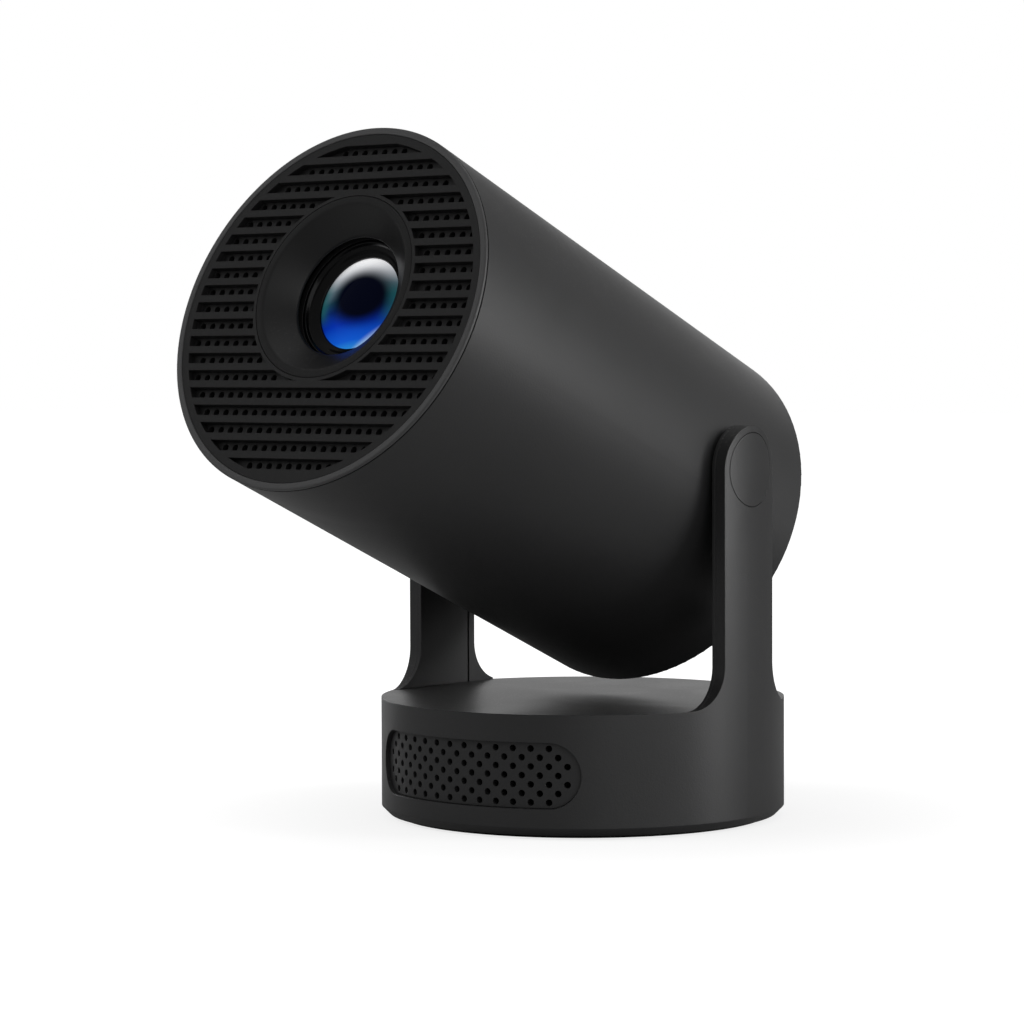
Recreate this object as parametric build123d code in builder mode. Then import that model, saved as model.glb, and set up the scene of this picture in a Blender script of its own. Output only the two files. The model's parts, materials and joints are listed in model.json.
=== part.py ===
"""Home projector: a round lamp barrel that tilts between the two arms of a speaker base.

Millimetres, +Z up. The origin is on the table under the centre of the base. The lens looks
along -Y and up by the tilt angle, and the tilt axis runs along X. Every piece in the barrel
is placed on the barrel's own planes, whose z runs forward to the lens and whose y runs up.
"""

from build123d import *
import os
from math import cos, degrees, radians, sin, sqrt

# ---- barrel ----
barrel_radius = 50.4
barrel_wall = 2.5
barrel_ahead = 117.5
barrel_behind = 33.4
barrel_bore = barrel_radius - barrel_wall
hub_gap = 0.3

# ---- base and arms ----
base_height = 33.4
base_wall = 3.3
base_roof = 2.6
base_lift = 1.0
base_chamfer = 2.1
arm_gap = 1.1
arm_thickness = 5.0
arm_half_width = 12.0
arm_root_radius = 11.5
arm_inner_x = barrel_radius + arm_gap
base_radius = arm_inner_x + arm_thickness
rim_softening = 0.5

# ---- tilt axis: the barrel's rear edge swings just clear of the base ----
pivot_y = 2.7
pivot_rise = 1.6
tilt = 22.7
swing_clearance = 2.4
swing_radius = sqrt(barrel_behind**2 + (barrel_radius + pivot_rise) ** 2)
pivot_z = base_height + swing_radius + swing_clearance

# ---- fits ----
running_fit = 0.05
slip_fit = 0.1
seam = 0.15
sliding_gap = 0.3
overshoot = 1.0

# ---- arm covers and cable channel ----
cover_thickness = 1.0
cover_rear_margin = 3.1
cover_seam = 0.7
channel_width = 6.0
channel_depth = 1.8
channel_drop = 8.8
ribbon_width = 5.0
ribbon_thickness = 0.4

# ---- hinge ----
trunnion_radius = 4.5
trunnion_bore = 2.4
trunnion_head = 1.5
bush_wall = 2.0
bush_flange = 1.5
bush_radius = trunnion_radius + bush_wall
bush_flange_radius = bush_radius + bush_flange
hub_radius = bush_flange_radius
washer_thickness = 0.7
hinge_screw_radius = 1.25
hinge_screw_head = 2.5
hinge_screw_offset = hub_radius + 1.8
hinge_screw_reach = 1.0
hinge_block_size = 2 * hinge_screw_offset + 4.4
hinge_block_depth = 11.3
hinge_block_inner_x = barrel_bore - hinge_block_depth
cap_radius = arm_half_width - 2.0
clip_radius = bush_radius
clip_thickness = 0.5
clip_slot = 2.0
groove_depth = 0.5
bore_web = 1.4

# ---- front ring and grille ----
ring_face = 1.9
ring_lip = 0.9
ring_seam = 0.3
sleeve_wall = 0.6
rebate_depth = 4.3
grille_recess = 0.2
slot_rows = 19
slot_pitch = 4.85
slot_rise = 0.4
slot_height = 2.9
slot_depth = 2.0
slot_field_radius = barrel_radius - 4.1
slot_margin = 0.95
sound_hole_radius = 0.95
hole_pitch = 3.39

# ---- lens group: the cell sets the sizes of what it holds and what holds it ----
lens_rise = 5.7
lens_travel = 1.5
cell_radius = 18.4
cell_bore = cell_radius - 3.4
cell_length = 31.0
retainer_radius = cell_radius - 1.5
retainer_depth = 2.5
retainer_lip = 0.8
retainer_edge = 0.6
front_lens_radius = cell_bore - 1.7
front_lens_sag = 3.0
front_lens_edge = 4.0
bezel_opening = front_lens_radius - 0.6
rear_lens_radius = cell_bore - 0.5
rear_lens_edge = 3.0
rear_lens_sag = 2.5
rear_lens_back_sag = 1.5
rear_lens_inset = 2.0
spacer_wall = 1.2
funnel_radius = cell_radius + 4.9
funnel_rim = 2.0
funnel_throat = cell_radius - 1.9
funnel_depth = 6.0
hood_flange_thickness = 1.5
hood_flange = 2.7
mount_radius = cell_radius + 3.1
mount_flange_radius = mount_radius + 6.5
mount_flange_thickness = 2.5
mount_tube_reach = 16.0

# ---- focus drive ----
gear_module = 1.0
ring_wall = 3.0
ring_teeth = 2 * round((mount_radius + ring_wall + 3.5) / gear_module)
ring_skirt = 8.0
ring_collar = 2.5
pinion_teeth = 12
gear_width = 4.0
gear_play = 1.0
tooth_height = 1.6
tooth_thickness = 1.15
tooth_root = 0.2
centre_relief = 0.3
motor_radius = 7.5
motor_length = 10.0
motor_boss = 1.0
motor_shaft_radius = 1.0
motor_lug = 2.0
motor_terminal_depth = 4.0
motor_terminal_height = 3.0

# ---- light engine ----
duct_clearance = 1.6
duct_width = 2 * (hinge_block_inner_x - duct_clearance)
duct_wall = 2.0
duct_cell_gap = 2.592
duct_height = 2 * (cell_radius + duct_cell_gap + duct_wall)
duct_start = 7.0
duct_straight_end = 46.0
duct_front = barrel_ahead - 40.0
duct_front_width = duct_width - 22.0
lcd_station = 33.0
lcd_thickness = 2.6
fresnel_thickness = 2.0
fresnel_spacing = 5.0
condenser_station = 14.0
condenser_radius = duct_height / 2 - 2 * duct_wall
condenser_edge = 2.0
condenser_sag = 5.5
condenser_lip = 1.5
holder_back = 1.0
holder_front = 3.0
led_board_size = 32.0
led_board_thickness = 1.6
led_board_inset = 8.0
led_board_hole = 1.6
led_size = 14.0
led_thickness = 1.2
led_corner = 0.6
bracket_thickness = 3.0
bracket_vent_radius = 4.0
bracket_vent_circle = barrel_bore - 9.4
bracket_vent_angles = (70, 110)
bracket_board_gap = 6.0
bracket_board_margin = 4.0

# ---- cooling ----
fan_size = barrel_bore + 2.1
fan_depth = 10.0
fan_rise = 10.0
fan_bore = fan_size / 2 - 1.0
fan_spider = 1.2
spider_width = 2.0
spider_angles = (0, 60, 120)
rotor_radius = fan_bore - 0.8
rotor_hub_radius = 11.0
rotor_blades = 7
rotor_back_gap = 0.8
rotor_front_gap = 0.7
blade_pitch = 38.0
blade_chord = 9.0
blade_thickness = 1.2
fan_pin_radius = 1.5
fan_pin_back = 3.0
sink_width = duct_width - 18.0
sink_height = duct_height + 4.0
sink_base = 3.0
sink_gap = 2.8
fin_count = 13
fin_thickness = 1.0

# ---- rear cap ----
cap_inset = 0.6
cap_thickness = 2.2
vent_pitch = 5.0
vent_height = 2.2
vent_rib = 1.6
vent_field_radius = fan_bore - 1.0
control_y = fan_rise - fan_bore - 5.0
control_x = 12.0
bay_width = 52.0
bay_height = 12.0
bay_depth = 6.0
bay_wall = 1.5
bay_corner = 3.0
bay_y = control_y - 11.5
button_radius = 3.3
button_lip = 0.4
button_flange = 0.8
button_travel = 0.8
button_proud = 0.1
switch_size = 6.0
post_x = 22.5
post_radius = 2.0
post_length = 4.0
lamp_radius = 1.2
lamp_proud = 0.1
window_length = 9.0
window_height = 4.0
window_inset = 0.1
screw_circle = barrel_bore - 3.5
rear_boss_length = 10.6
engine_boss_length = 12.0
engine_boss_angles = (0, 90, 180)
rear_screw_angles = (45, 135, 225, 315)

# ---- screws ----
screw_boss_radius = 3.8
screw_hole_depth = 8.0
screw_radius = 1.1
screw_head_radius = 2.4
screw_head_height = 1.4
screw_cross_length = 3.1
screw_cross_width = 0.6
base_screw_length = 8.0
rear_screw_length = 7.0
engine_screw_length = 9.0

# ---- boards and sockets: position across the bay, width, height, depth ----
board_width = 54.0
board_mount_gap = 16.1
board_thickness = 1.6
board_gap = 0.7
board_top_y = bay_y - 3.5
board_foot_x = 20.0
board_foot_size = 5.0
board_foot_insets = (10.0, 12.0)
chip_height = 1.4
chips = ((-12, 18, 14), (10, 18, 10), (12, 38, 12), (-14, 40, 9))
control_board_width = 50.0
control_board_height = 7.4
control_board_thickness = 1.2
connectors = {
    "power_inlet": (-20.0, 9.0, 9.0, 13.0),
    "audio_socket": (-11.0, 7.0, 6.4, 12.0),
    "video_socket": (1.5, 15.0, 5.8, 11.0),
    "usb_socket": (17.5, 13.4, 6.8, 14.0),
}
socket_lip = 0.2
socket_wall = 0.6
socket_bore_depth = 9.0
video_bore_depth = 8.0
power_bore_radius = 3.2
power_pin_radius = 0.8
audio_bore_radius = 1.8
video_tongue_inset = 1.7
video_tongue_height = 1.4
usb_tongue_inset = 1.3
usb_tongue_height = 1.6
usb_tongue_rise = 1.2

# ---- speaker grille ----
cavity_radius = base_radius - base_wall
grille_half_angle = 37.4
grille_height = 17.7
grille_z = 17.1
grille_recess_depth = 1.3
grille_flange = 2.2
speaker_column_step = 2.585
speaker_columns = 27
speaker_hole_pitch = 4.8
speaker_hole_radius = 0.9

# ---- underside ----
cover_plate_thickness = 2.4
foot_width = 3.4
foot_outer_radius = base_radius - 4.5
foot_inner_radius = foot_outer_radius - foot_width
foot_groove = 0.8
base_boss_radius = 3.8
base_screw_circle = cavity_radius - 9.2
ballast_radius = base_screw_circle - base_boss_radius - 0.7
ballast_thickness = 4.0
nut_radius = 5.5
nut_flange_radius = 8.0
nut_flange_thickness = 1.0
nut_length = 9.0
tripod_thread_radius = 3.175

# ---- speaker ----
speaker_width = 56.0
speaker_height = 17.0
speaker_front_y = 10.2 - cavity_radius
speaker_flange = 3.0
speaker_tub_width = 44.0
speaker_tub_height = 15.0
speaker_tub_depth = 7.0
speaker_tub_wall = 2.0
cone_inset = 1.5
cone_thickness = 1.0
dome_height = 2.0
dome_taper = 20.0
magnet_width = 28.0
magnet_depth = 9.0

centred = (Align.CENTER, Align.CENTER, Align.MIN)
forward = (0, -cos(radians(tilt)), sin(radians(tilt)))
pivot_plane = Plane(origin=(0, pivot_y, pivot_z), x_dir=(1, 0, 0), z_dir=forward)
barrel_plane = Plane(
    origin=pivot_plane.from_local_coords((0, -pivot_rise, 0)), x_dir=(1, 0, 0), z_dir=forward
)
lens_plane = Plane(
    origin=barrel_plane.from_local_coords((0, lens_rise, 0)), x_dir=(1, 0, 0), z_dir=forward
)
lens_section = Plane(origin=lens_plane.origin, x_dir=forward, z_dir=(1, 0, 0))
lens_axis = Axis(lens_plane.origin, forward)
pieces = []


def hinge_line(side):
    """Plane on the tilt axis whose z runs out towards the arm on this side, 1 or -1."""
    return Plane(origin=pivot_plane.origin, x_dir=forward, z_dir=(side, 0, 0))


def disc(plane, start, end, radius, mode=Mode.ADD):
    """Adds or cuts a cylinder between two stations of a plane's axis."""
    with Locations(plane.offset(start)):
        Cylinder(radius, end - start, align=centred, mode=mode)


def block(plane, start, end, width, height, centre=(0, 0), mode=Mode.ADD):
    """Adds or cuts a rectangular block between two stations of a plane's axis."""
    with Locations(plane.offset(start)):
        with Locations((centre[0], centre[1], 0)):
            Box(width, height, end - start, align=centred, mode=mode)


def finish(part, name):
    """Labels a finished piece and writes its file."""
    part.label = name
    pieces.append(part)
    export_step(part, f"parts/{name}.step")


def mirrored(part, name):
    """Writes the left-hand copy of a right-hand piece."""
    finish(Part(part.mirror(Plane.YZ).wrapped), name)


os.makedirs("parts", exist_ok=True)

# ======================================================================
# Base and arms
# ======================================================================
cavity_top = base_height - base_roof
recess_floor_x = arm_inner_x + cover_thickness
bush_end_x = recess_floor_x + bore_web
cover_rear_y = pivot_y + arm_half_width - cover_rear_margin
post_top = cavity_top + base_roof / 2
channel_bottom = cavity_top - channel_drop
channel_top = pivot_z - cap_radius + overshoot


def arm_outline(front, rear):
    """Side outline of an arm: a round top on a shank that flares into the base top."""
    flare = arm_root_radius
    with BuildSketch(Plane.YZ.offset(arm_inner_x)) as outline:
        with BuildLine():
            Line((front - flare, base_height), (rear + flare, base_height))
            RadiusArc((rear + flare, base_height), (rear, base_height + flare), flare)
            Line((rear, base_height + flare), (rear, pivot_z))
            RadiusArc((rear, pivot_z), (front, pivot_z), -arm_half_width)
            Line((front, pivot_z), (front, base_height + flare))
            RadiusArc((front, base_height + flare), (front - flare, base_height), flare)
        make_face()
    return outline.sketch


arm_profile = arm_outline(pivot_y - arm_half_width, pivot_y + arm_half_width)
arm_top = pivot_z + arm_half_width
grille_window_radius = grille_height / 2
grille_end_angle = grille_half_angle - degrees(grille_window_radius / base_radius)


def radial_plane(angle):
    """Plane through the base's axis at the grille's height, z pointing out at this angle."""
    out = (sin(radians(angle)), -cos(radians(angle)), 0)
    return Plane(origin=(0, 0, grille_z), x_dir=(cos(radians(angle)), sin(radians(angle)), 0), z_dir=out)


def curved_slot(inner, outer, half_height, mode=Mode.ADD):
    """Adds or cuts the round-ended window of the speaker grille between two radii."""
    start = -90 - grille_end_angle
    with BuildSketch(Plane.XY.offset(grille_z - half_height)) as sector:
        with BuildLine():
            CenterArc((0, 0), outer, start, 2 * grille_end_angle)
            CenterArc((0, 0), inner, start, 2 * grille_end_angle)
            Line(
                (inner * cos(radians(start)), inner * sin(radians(start))),
                (outer * cos(radians(start)), outer * sin(radians(start))),
            )
            Line(
                (-inner * cos(radians(start)), inner * sin(radians(start))),
                (-outer * cos(radians(start)), outer * sin(radians(start))),
            )
        make_face()
    extrude(sector.sketch, amount=2 * half_height, mode=mode)
    for side in (-1, 1):
        disc(radial_plane(side * grille_end_angle), inner, outer, half_height, mode)


with BuildPart() as stand_shell:
    disc(Plane.XY, base_lift, base_height, base_radius + overshoot)
    extrude(arm_profile, amount=base_radius - arm_inner_x)
    extrude(arm_profile.mirror(Plane.YZ), amount=base_radius - arm_inner_x, dir=(-1, 0, 0))
    disc(Plane.XY, 0, arm_top + overshoot, base_radius, Mode.INTERSECT)
    lower_edge = stand_shell.edges().filter_by(GeomType.CIRCLE).sort_by(Axis.Z)[0]
    chamfer(lower_edge, base_chamfer)
    disc(Plane.XY, base_lift, cavity_top, cavity_radius, Mode.SUBTRACT)
    with PolarLocations(base_screw_circle, 4, start_angle=45):
        with Locations((0, 0, base_lift + cover_plate_thickness)):
            Cylinder(base_boss_radius, post_top - base_lift - cover_plate_thickness, align=centred)
            Cylinder(screw_radius + slip_fit, screw_hole_depth, align=centred, mode=Mode.SUBTRACT)
    curved_slot(cavity_radius - base_wall, base_radius + overshoot, grille_window_radius, Mode.SUBTRACT)
    for side in (-1, 1):
        cover_front = pivot_y - arm_half_width - arm_root_radius
        cover_span = cover_rear_y + cover_seam - cover_front
        # recess for the arm's inner cover, and its narrow seam at the rear
        with Locations((side * arm_inner_x, cover_front, base_height)):
            Box(
                2 * cover_thickness, cover_span, arm_top - base_height,
                align=(Align.CENTER, Align.MIN, Align.MIN), mode=Mode.SUBTRACT,
            )
        # cable channel from the base up to the pivot
        with Locations((side * (recess_floor_x + channel_depth / 2), pivot_y, channel_bottom)):
            Box(channel_depth, channel_width, channel_top - channel_bottom, align=centred, mode=Mode.SUBTRACT)
        line = hinge_line(side)
        disc(line, recess_floor_x, bush_end_x, bush_radius + running_fit, Mode.SUBTRACT)
        disc(line, bush_end_x, base_radius + overshoot, cap_radius + seam, Mode.SUBTRACT)
finish(stand_shell.part, "stand_shell")

with BuildPart() as arm_cover_right:
    extrude(arm_profile, amount=cover_thickness)
    with Locations((arm_inner_x, cover_rear_y, 0)):
        Box(
            4 * cover_thickness, arm_root_radius * 3, arm_top * 2,
            align=(Align.CENTER, Align.MIN, Align.MIN), mode=Mode.SUBTRACT,
        )
    disc(hinge_line(1), 0, base_radius, bush_flange_radius + seam, Mode.SUBTRACT)
finish(arm_cover_right.part, "arm_cover_right")
mirrored(arm_cover_right.part, "arm_cover_left")

# ---- hinge pieces that stay with the arms ----
clip_start_x = bush_end_x + running_fit
trunnion_end_x = clip_start_x + clip_thickness + groove_depth

with BuildPart() as pivot_bushes:
    for side in (-1, 1):
        line = hinge_line(side)
        disc(line, arm_inner_x, recess_floor_x, bush_flange_radius)
        disc(line, recess_floor_x, bush_end_x, bush_radius)
        disc(line, 0, base_radius, trunnion_radius + running_fit, Mode.SUBTRACT)
finish(pivot_bushes.part, "pivot_bushes")

with BuildPart() as pivot_cap_right:
    disc(hinge_line(1), bush_end_x, base_radius + overshoot, cap_radius)
    disc(Plane.XY, 0, arm_top + overshoot, base_radius, Mode.INTERSECT)
    disc(hinge_line(1), bush_end_x, trunnion_end_x + slip_fit, clip_radius + 2 * seam, Mode.SUBTRACT)
finish(pivot_cap_right.part, "pivot_cap_right")
mirrored(pivot_cap_right.part, "pivot_cap_left")

with BuildPart() as signal_ribbon:
    with Locations((recess_floor_x + slip_fit + ribbon_thickness / 2, pivot_y, channel_bottom)):
        Box(ribbon_thickness, ribbon_width, channel_top - channel_bottom - slip_fit, align=centred)
finish(signal_ribbon.part, "signal_ribbon")

# ---- underside ----
plate_top = base_lift + cover_plate_thickness
ballast_top = plate_top + ballast_thickness

with BuildPart() as base_cover:
    disc(Plane.XY, base_lift, plate_top, cavity_radius - seam)
    disc(Plane.XY, base_lift, base_lift + foot_groove, foot_outer_radius + slip_fit, Mode.SUBTRACT)
    disc(Plane.XY, base_lift, base_lift + foot_groove, foot_inner_radius - slip_fit)
    disc(Plane.XY, base_lift, plate_top, nut_radius + slip_fit, Mode.SUBTRACT)
    with PolarLocations(base_screw_circle, 4, start_angle=45):
        with Locations((0, 0, base_lift)):
            Cylinder(screw_head_radius + seam, screw_head_height, align=centred, mode=Mode.SUBTRACT)
            Cylinder(screw_radius + seam, cover_plate_thickness, align=centred, mode=Mode.SUBTRACT)
finish(base_cover.part, "base_cover")

with BuildPart() as foot_ring:
    disc(Plane.XY, 0, base_lift + foot_groove, foot_outer_radius)
    disc(Plane.XY, 0, base_lift + foot_groove, foot_inner_radius, Mode.SUBTRACT)
    foot_edges = foot_ring.edges().filter_by(GeomType.CIRCLE).group_by(Axis.Z)[0]
    fillet(foot_edges, rim_softening)
finish(foot_ring.part, "foot_ring")

with BuildPart() as tripod_nut:
    disc(Plane.XY, base_lift, base_lift + nut_length, nut_radius)
    disc(Plane.XY, plate_top, plate_top + nut_flange_thickness, nut_flange_radius)
    thread_top = base_lift + nut_length - nut_flange_thickness
    disc(Plane.XY, base_lift, thread_top, tripod_thread_radius, Mode.SUBTRACT)
finish(tripod_nut.part, "tripod_nut")

with BuildPart() as ballast_plate:
    disc(Plane.XY, plate_top, ballast_top, ballast_radius)
    disc(Plane.XY, plate_top, ballast_top, nut_flange_radius + sliding_gap, Mode.SUBTRACT)
    fillet(ballast_plate.edges().group_by(Axis.Z)[-1], rim_softening)
finish(ballast_plate.part, "ballast_plate")


def screw(length):
    """A pan-head screw standing on the current location, its head below the origin's plane."""
    Cylinder(screw_head_radius, screw_head_height, align=centred)
    with Locations((0, 0, screw_head_height)):
        Cylinder(screw_radius, length, align=centred)
    for turn in (0, 90):
        Box(
            screw_cross_length, screw_cross_width, screw_head_height / 2,
            rotation=(0, 0, turn), align=centred, mode=Mode.SUBTRACT,
        )


with BuildPart() as base_screws:
    with PolarLocations(base_screw_circle, 4, start_angle=45):
        with Locations((0, 0, base_lift)):
            screw(base_screw_length)
finish(base_screws.part, "base_screws")

# ---- speaker ----
grille_face_radius = base_radius - grille_recess_depth
with BuildPart() as speaker_grille:
    # the wide flange lies against the wall's inside, and the panel fills the window
    curved_slot(cavity_radius - base_wall, cavity_radius, grille_window_radius + grille_flange)
    disc(Plane.XY, 0, base_height, cavity_radius - slip_fit, Mode.INTERSECT)
    curved_slot(cavity_radius - base_wall, base_radius, grille_window_radius - seam)
    disc(Plane.XY, 0, base_height, grille_face_radius, Mode.INTERSECT)
    disc(Plane.XY, 0, base_height, cavity_radius - grille_flange / 2, Mode.SUBTRACT)
    middle = (speaker_columns - 1) // 2
    for column in range(speaker_columns):
        offset = column - middle
        if abs(offset) == middle:
            count = 2
        elif offset % 2 == 0:
            count = 3
        else:
            count = 4
        with Locations(radial_plane(offset * speaker_column_step)):
            with GridLocations(1, speaker_hole_pitch, 1, count):
                Cylinder(speaker_hole_radius, base_radius + overshoot, align=centred, mode=Mode.SUBTRACT)
finish(speaker_grille.part, "speaker_grille")

speaker_plane = Plane(origin=(0, speaker_front_y, grille_z), x_dir=(1, 0, 0), z_dir=(0, -1, 0))
tub_end = -speaker_flange - speaker_tub_depth
flange_top = speaker_height / 2
flange_bottom = ballast_top - grille_z
with BuildPart() as speaker_basket:
    block(
        speaker_plane, -speaker_flange, 0, speaker_width, flange_top - flange_bottom,
        centre=(0, (flange_top + flange_bottom) / 2),
    )
    block(speaker_plane, tub_end, -speaker_flange, speaker_tub_width, speaker_tub_height)
    block(
        speaker_plane, tub_end + speaker_tub_wall, 0,
        speaker_tub_width - 2 * speaker_tub_wall, speaker_tub_height - speaker_tub_wall, mode=Mode.SUBTRACT,
    )
    fillet(speaker_basket.edges().filter_by(Axis.Y), rim_softening)
finish(speaker_basket.part, "speaker_basket")

cone_width = speaker_tub_width - 2 * speaker_tub_wall - 2 * sliding_gap
cone_height = speaker_tub_height - speaker_tub_wall - 2 * sliding_gap
with BuildPart() as speaker_cone:
    with BuildSketch(speaker_plane.offset(-cone_inset)):
        SlotOverall(cone_width, cone_height)
    extrude(amount=cone_thickness)
    with BuildSketch(speaker_plane.offset(cone_thickness - cone_inset)):
        SlotOverall(cone_width / 2, cone_height / 2)
    extrude(amount=dome_height, taper=dome_taper)
finish(speaker_cone.part, "speaker_cone")

with BuildPart() as speaker_magnet:
    block(speaker_plane, tub_end - magnet_depth, tub_end, magnet_width, cone_height)
    chamfer(speaker_magnet.faces().sort_by(Axis.Y)[-1].edges(), rim_softening)
finish(speaker_magnet.part, "speaker_magnet")

# ======================================================================
# Barrel shell and hinge blocks
# ======================================================================
ring_inner_radius = barrel_radius - ring_face
shell_front = barrel_ahead - ring_lip - ring_seam
rebate_start = shell_front - rebate_depth
rebate_radius = ring_inner_radius + sleeve_wall + slip_fit
rear_face = -barrel_behind
cap_face = rear_face + cap_inset
cap_back = cap_face + cap_thickness
hub_face_x = barrel_radius + hub_gap
block_outer_radius = barrel_bore - slip_fit
bracket_start = duct_straight_end
boss_back = bracket_start - slip_fit
hinge_screw_span = barrel_bore + hinge_screw_reach - hinge_block_inner_x
board_rear = cap_face + bay_depth + bay_wall + board_gap
board_length = duct_front - board_mount_gap - board_rear
board_feet = (board_rear + board_foot_insets[0], board_rear + board_length - board_foot_insets[1])


def on_screw_circle(angle):
    """The place on the screw circle at this angle, in the barrel's cross-section."""
    return (screw_circle * cos(radians(angle)), screw_circle * sin(radians(angle)), 0)


with BuildPart() as barrel_shell:
    disc(barrel_plane, rear_face, shell_front, barrel_radius)
    fillet(barrel_shell.edges().filter_by(GeomType.CIRCLE).sort_by(Axis.Y)[-1], rim_softening)
    disc(barrel_plane, rear_face, shell_front, barrel_bore, Mode.SUBTRACT)
    disc(barrel_plane, rebate_start, shell_front, rebate_radius, Mode.SUBTRACT)
    for angle in rear_screw_angles:
        with Locations(barrel_plane.offset(cap_back + slip_fit)):
            with Locations(on_screw_circle(angle)):
                Cylinder(screw_boss_radius, rear_boss_length, align=centred)
                Cylinder(screw_radius + slip_fit, screw_hole_depth, align=centred, mode=Mode.SUBTRACT)
    for angle in engine_boss_angles:
        with Locations(barrel_plane.offset(boss_back - engine_boss_length)):
            with Locations(on_screw_circle(angle)):
                Cylinder(screw_boss_radius, engine_boss_length, align=centred)
        with Locations(barrel_plane.offset(boss_back - screw_hole_depth)):
            with Locations(on_screw_circle(angle)):
                Cylinder(screw_radius + slip_fit, screw_hole_depth, align=centred, mode=Mode.SUBTRACT)
    # feet that carry the main board
    foot_half = board_foot_size / 2
    foot_reach = sqrt((barrel_radius - barrel_wall / 2) ** 2 - (board_foot_x + foot_half) ** 2)
    foot_top = board_top_y - board_thickness
    for station in board_feet:
        for side in (-1, 1):
            block(
                barrel_plane, station - foot_half, station + foot_half,
                board_foot_size, foot_reach + foot_top,
                centre=(side * board_foot_x, (foot_top - foot_reach) / 2),
            )
    for side in (-1, 1):
        line = hinge_line(side)
        disc(line, hinge_block_inner_x, base_radius, hub_radius + sliding_gap, Mode.SUBTRACT)
        for row in (-1, 1):
            with Locations(line.offset(hinge_block_inner_x)):
                with Locations((row * hinge_screw_offset, 0, 0)):
                    Cylinder(
                        hinge_screw_radius + slip_fit, hinge_screw_span, align=centred, mode=Mode.SUBTRACT,
                    )
finish(barrel_shell.part, "barrel_shell")

right_hinge = hinge_line(1)
with BuildPart() as hinge_block_right:
    block(right_hinge, hinge_block_inner_x, base_radius, hinge_block_size, hinge_block_size)
    disc(barrel_plane, -barrel_behind, barrel_behind, block_outer_radius, Mode.INTERSECT)
    disc(right_hinge, hinge_block_inner_x, hub_face_x, hub_radius)
    disc(right_hinge, 0, base_radius, trunnion_radius, Mode.SUBTRACT)
    for row in (-1, 1):
        with Locations(right_hinge):
            with Locations((row * hinge_screw_offset, 0, 0)):
                Cylinder(hinge_screw_radius + slip_fit, base_radius, align=centred, mode=Mode.SUBTRACT)
finish(hinge_block_right.part, "hinge_block_right")
mirrored(hinge_block_right.part, "hinge_block_left")

with BuildPart() as trunnions:
    for side in (-1, 1):
        line = hinge_line(side)
        disc(line, hinge_block_inner_x, trunnion_end_x, trunnion_radius)
        disc(line, hinge_block_inner_x - trunnion_head, hinge_block_inner_x, trunnion_radius + trunnion_head)
        with BuildSketch(line.offset(clip_start_x)) as groove:
            Circle(trunnion_radius + overshoot)
            Circle(trunnion_radius - groove_depth, mode=Mode.SUBTRACT)
        extrude(groove.sketch, amount=clip_thickness, mode=Mode.SUBTRACT)
        disc(line, 0, base_radius, trunnion_bore, Mode.SUBTRACT)
finish(trunnions.part, "trunnions")

with BuildPart() as pivot_clips:
    for side in (-1, 1):
        line = hinge_line(side)
        disc(line, clip_start_x, clip_start_x + clip_thickness, clip_radius)
        disc(line, 0, base_radius, trunnion_radius - groove_depth, Mode.SUBTRACT)
        block(line, clip_start_x, base_radius, clip_radius, clip_slot, (clip_radius, 0), Mode.SUBTRACT)
finish(pivot_clips.part, "pivot_clips")

with BuildPart() as friction_washers:
    for side in (-1, 1):
        line = hinge_line(side)
        disc(line, hub_face_x, hub_face_x + washer_thickness, hub_radius - seam)
        disc(line, 0, base_radius, trunnion_radius + slip_fit, Mode.SUBTRACT)
finish(friction_washers.part, "friction_washers")

with BuildPart() as hinge_screws:
    for side in (-1, 1):
        line = hinge_line(side)
        for row in (-1, 1):
            with Locations(line.offset(hinge_block_inner_x - screw_head_height)):
                with Locations((row * hinge_screw_offset, 0, 0)):
                    Cylinder(hinge_screw_head, screw_head_height, align=centred)
                    Cylinder(hinge_screw_radius, screw_head_height + hinge_screw_span, align=centred)
finish(hinge_screws.part, "hinge_screws")

# ======================================================================
# Front ring, grille and lens hood
# ======================================================================
grille_face = barrel_ahead - grille_recess
slot_floor = grille_face - slot_depth
hood_radius = funnel_radius + funnel_rim
hood_back = rebate_start - hood_flange_thickness
slot_keep_out = hood_radius + seam + slot_margin

with BuildPart() as front_ring:
    disc(barrel_plane, barrel_ahead - ring_lip, barrel_ahead, barrel_radius)
    fillet(front_ring.edges().filter_by(GeomType.CIRCLE), ring_seam)
    disc(barrel_plane, rebate_start + slip_fit, barrel_ahead - ring_lip, rebate_radius - slip_fit)
    disc(barrel_plane, rebate_start, barrel_ahead, ring_inner_radius, Mode.SUBTRACT)
finish(front_ring.part, "front_ring")


def row_holes(row_y):
    """Places along one slot row where a round hole stands clear of the rim and of the lens hood."""
    places = []
    steps = int(slot_field_radius / hole_pitch)
    reach = slot_field_radius - sound_hole_radius
    keep_out = slot_keep_out + sound_hole_radius
    for step in range(-steps, steps + 1):
        x = step * hole_pitch
        if sqrt(x**2 + row_y**2) < reach and sqrt(x**2 + (row_y - lens_rise) ** 2) > keep_out:
            places.append((x, row_y))
    return places


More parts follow.
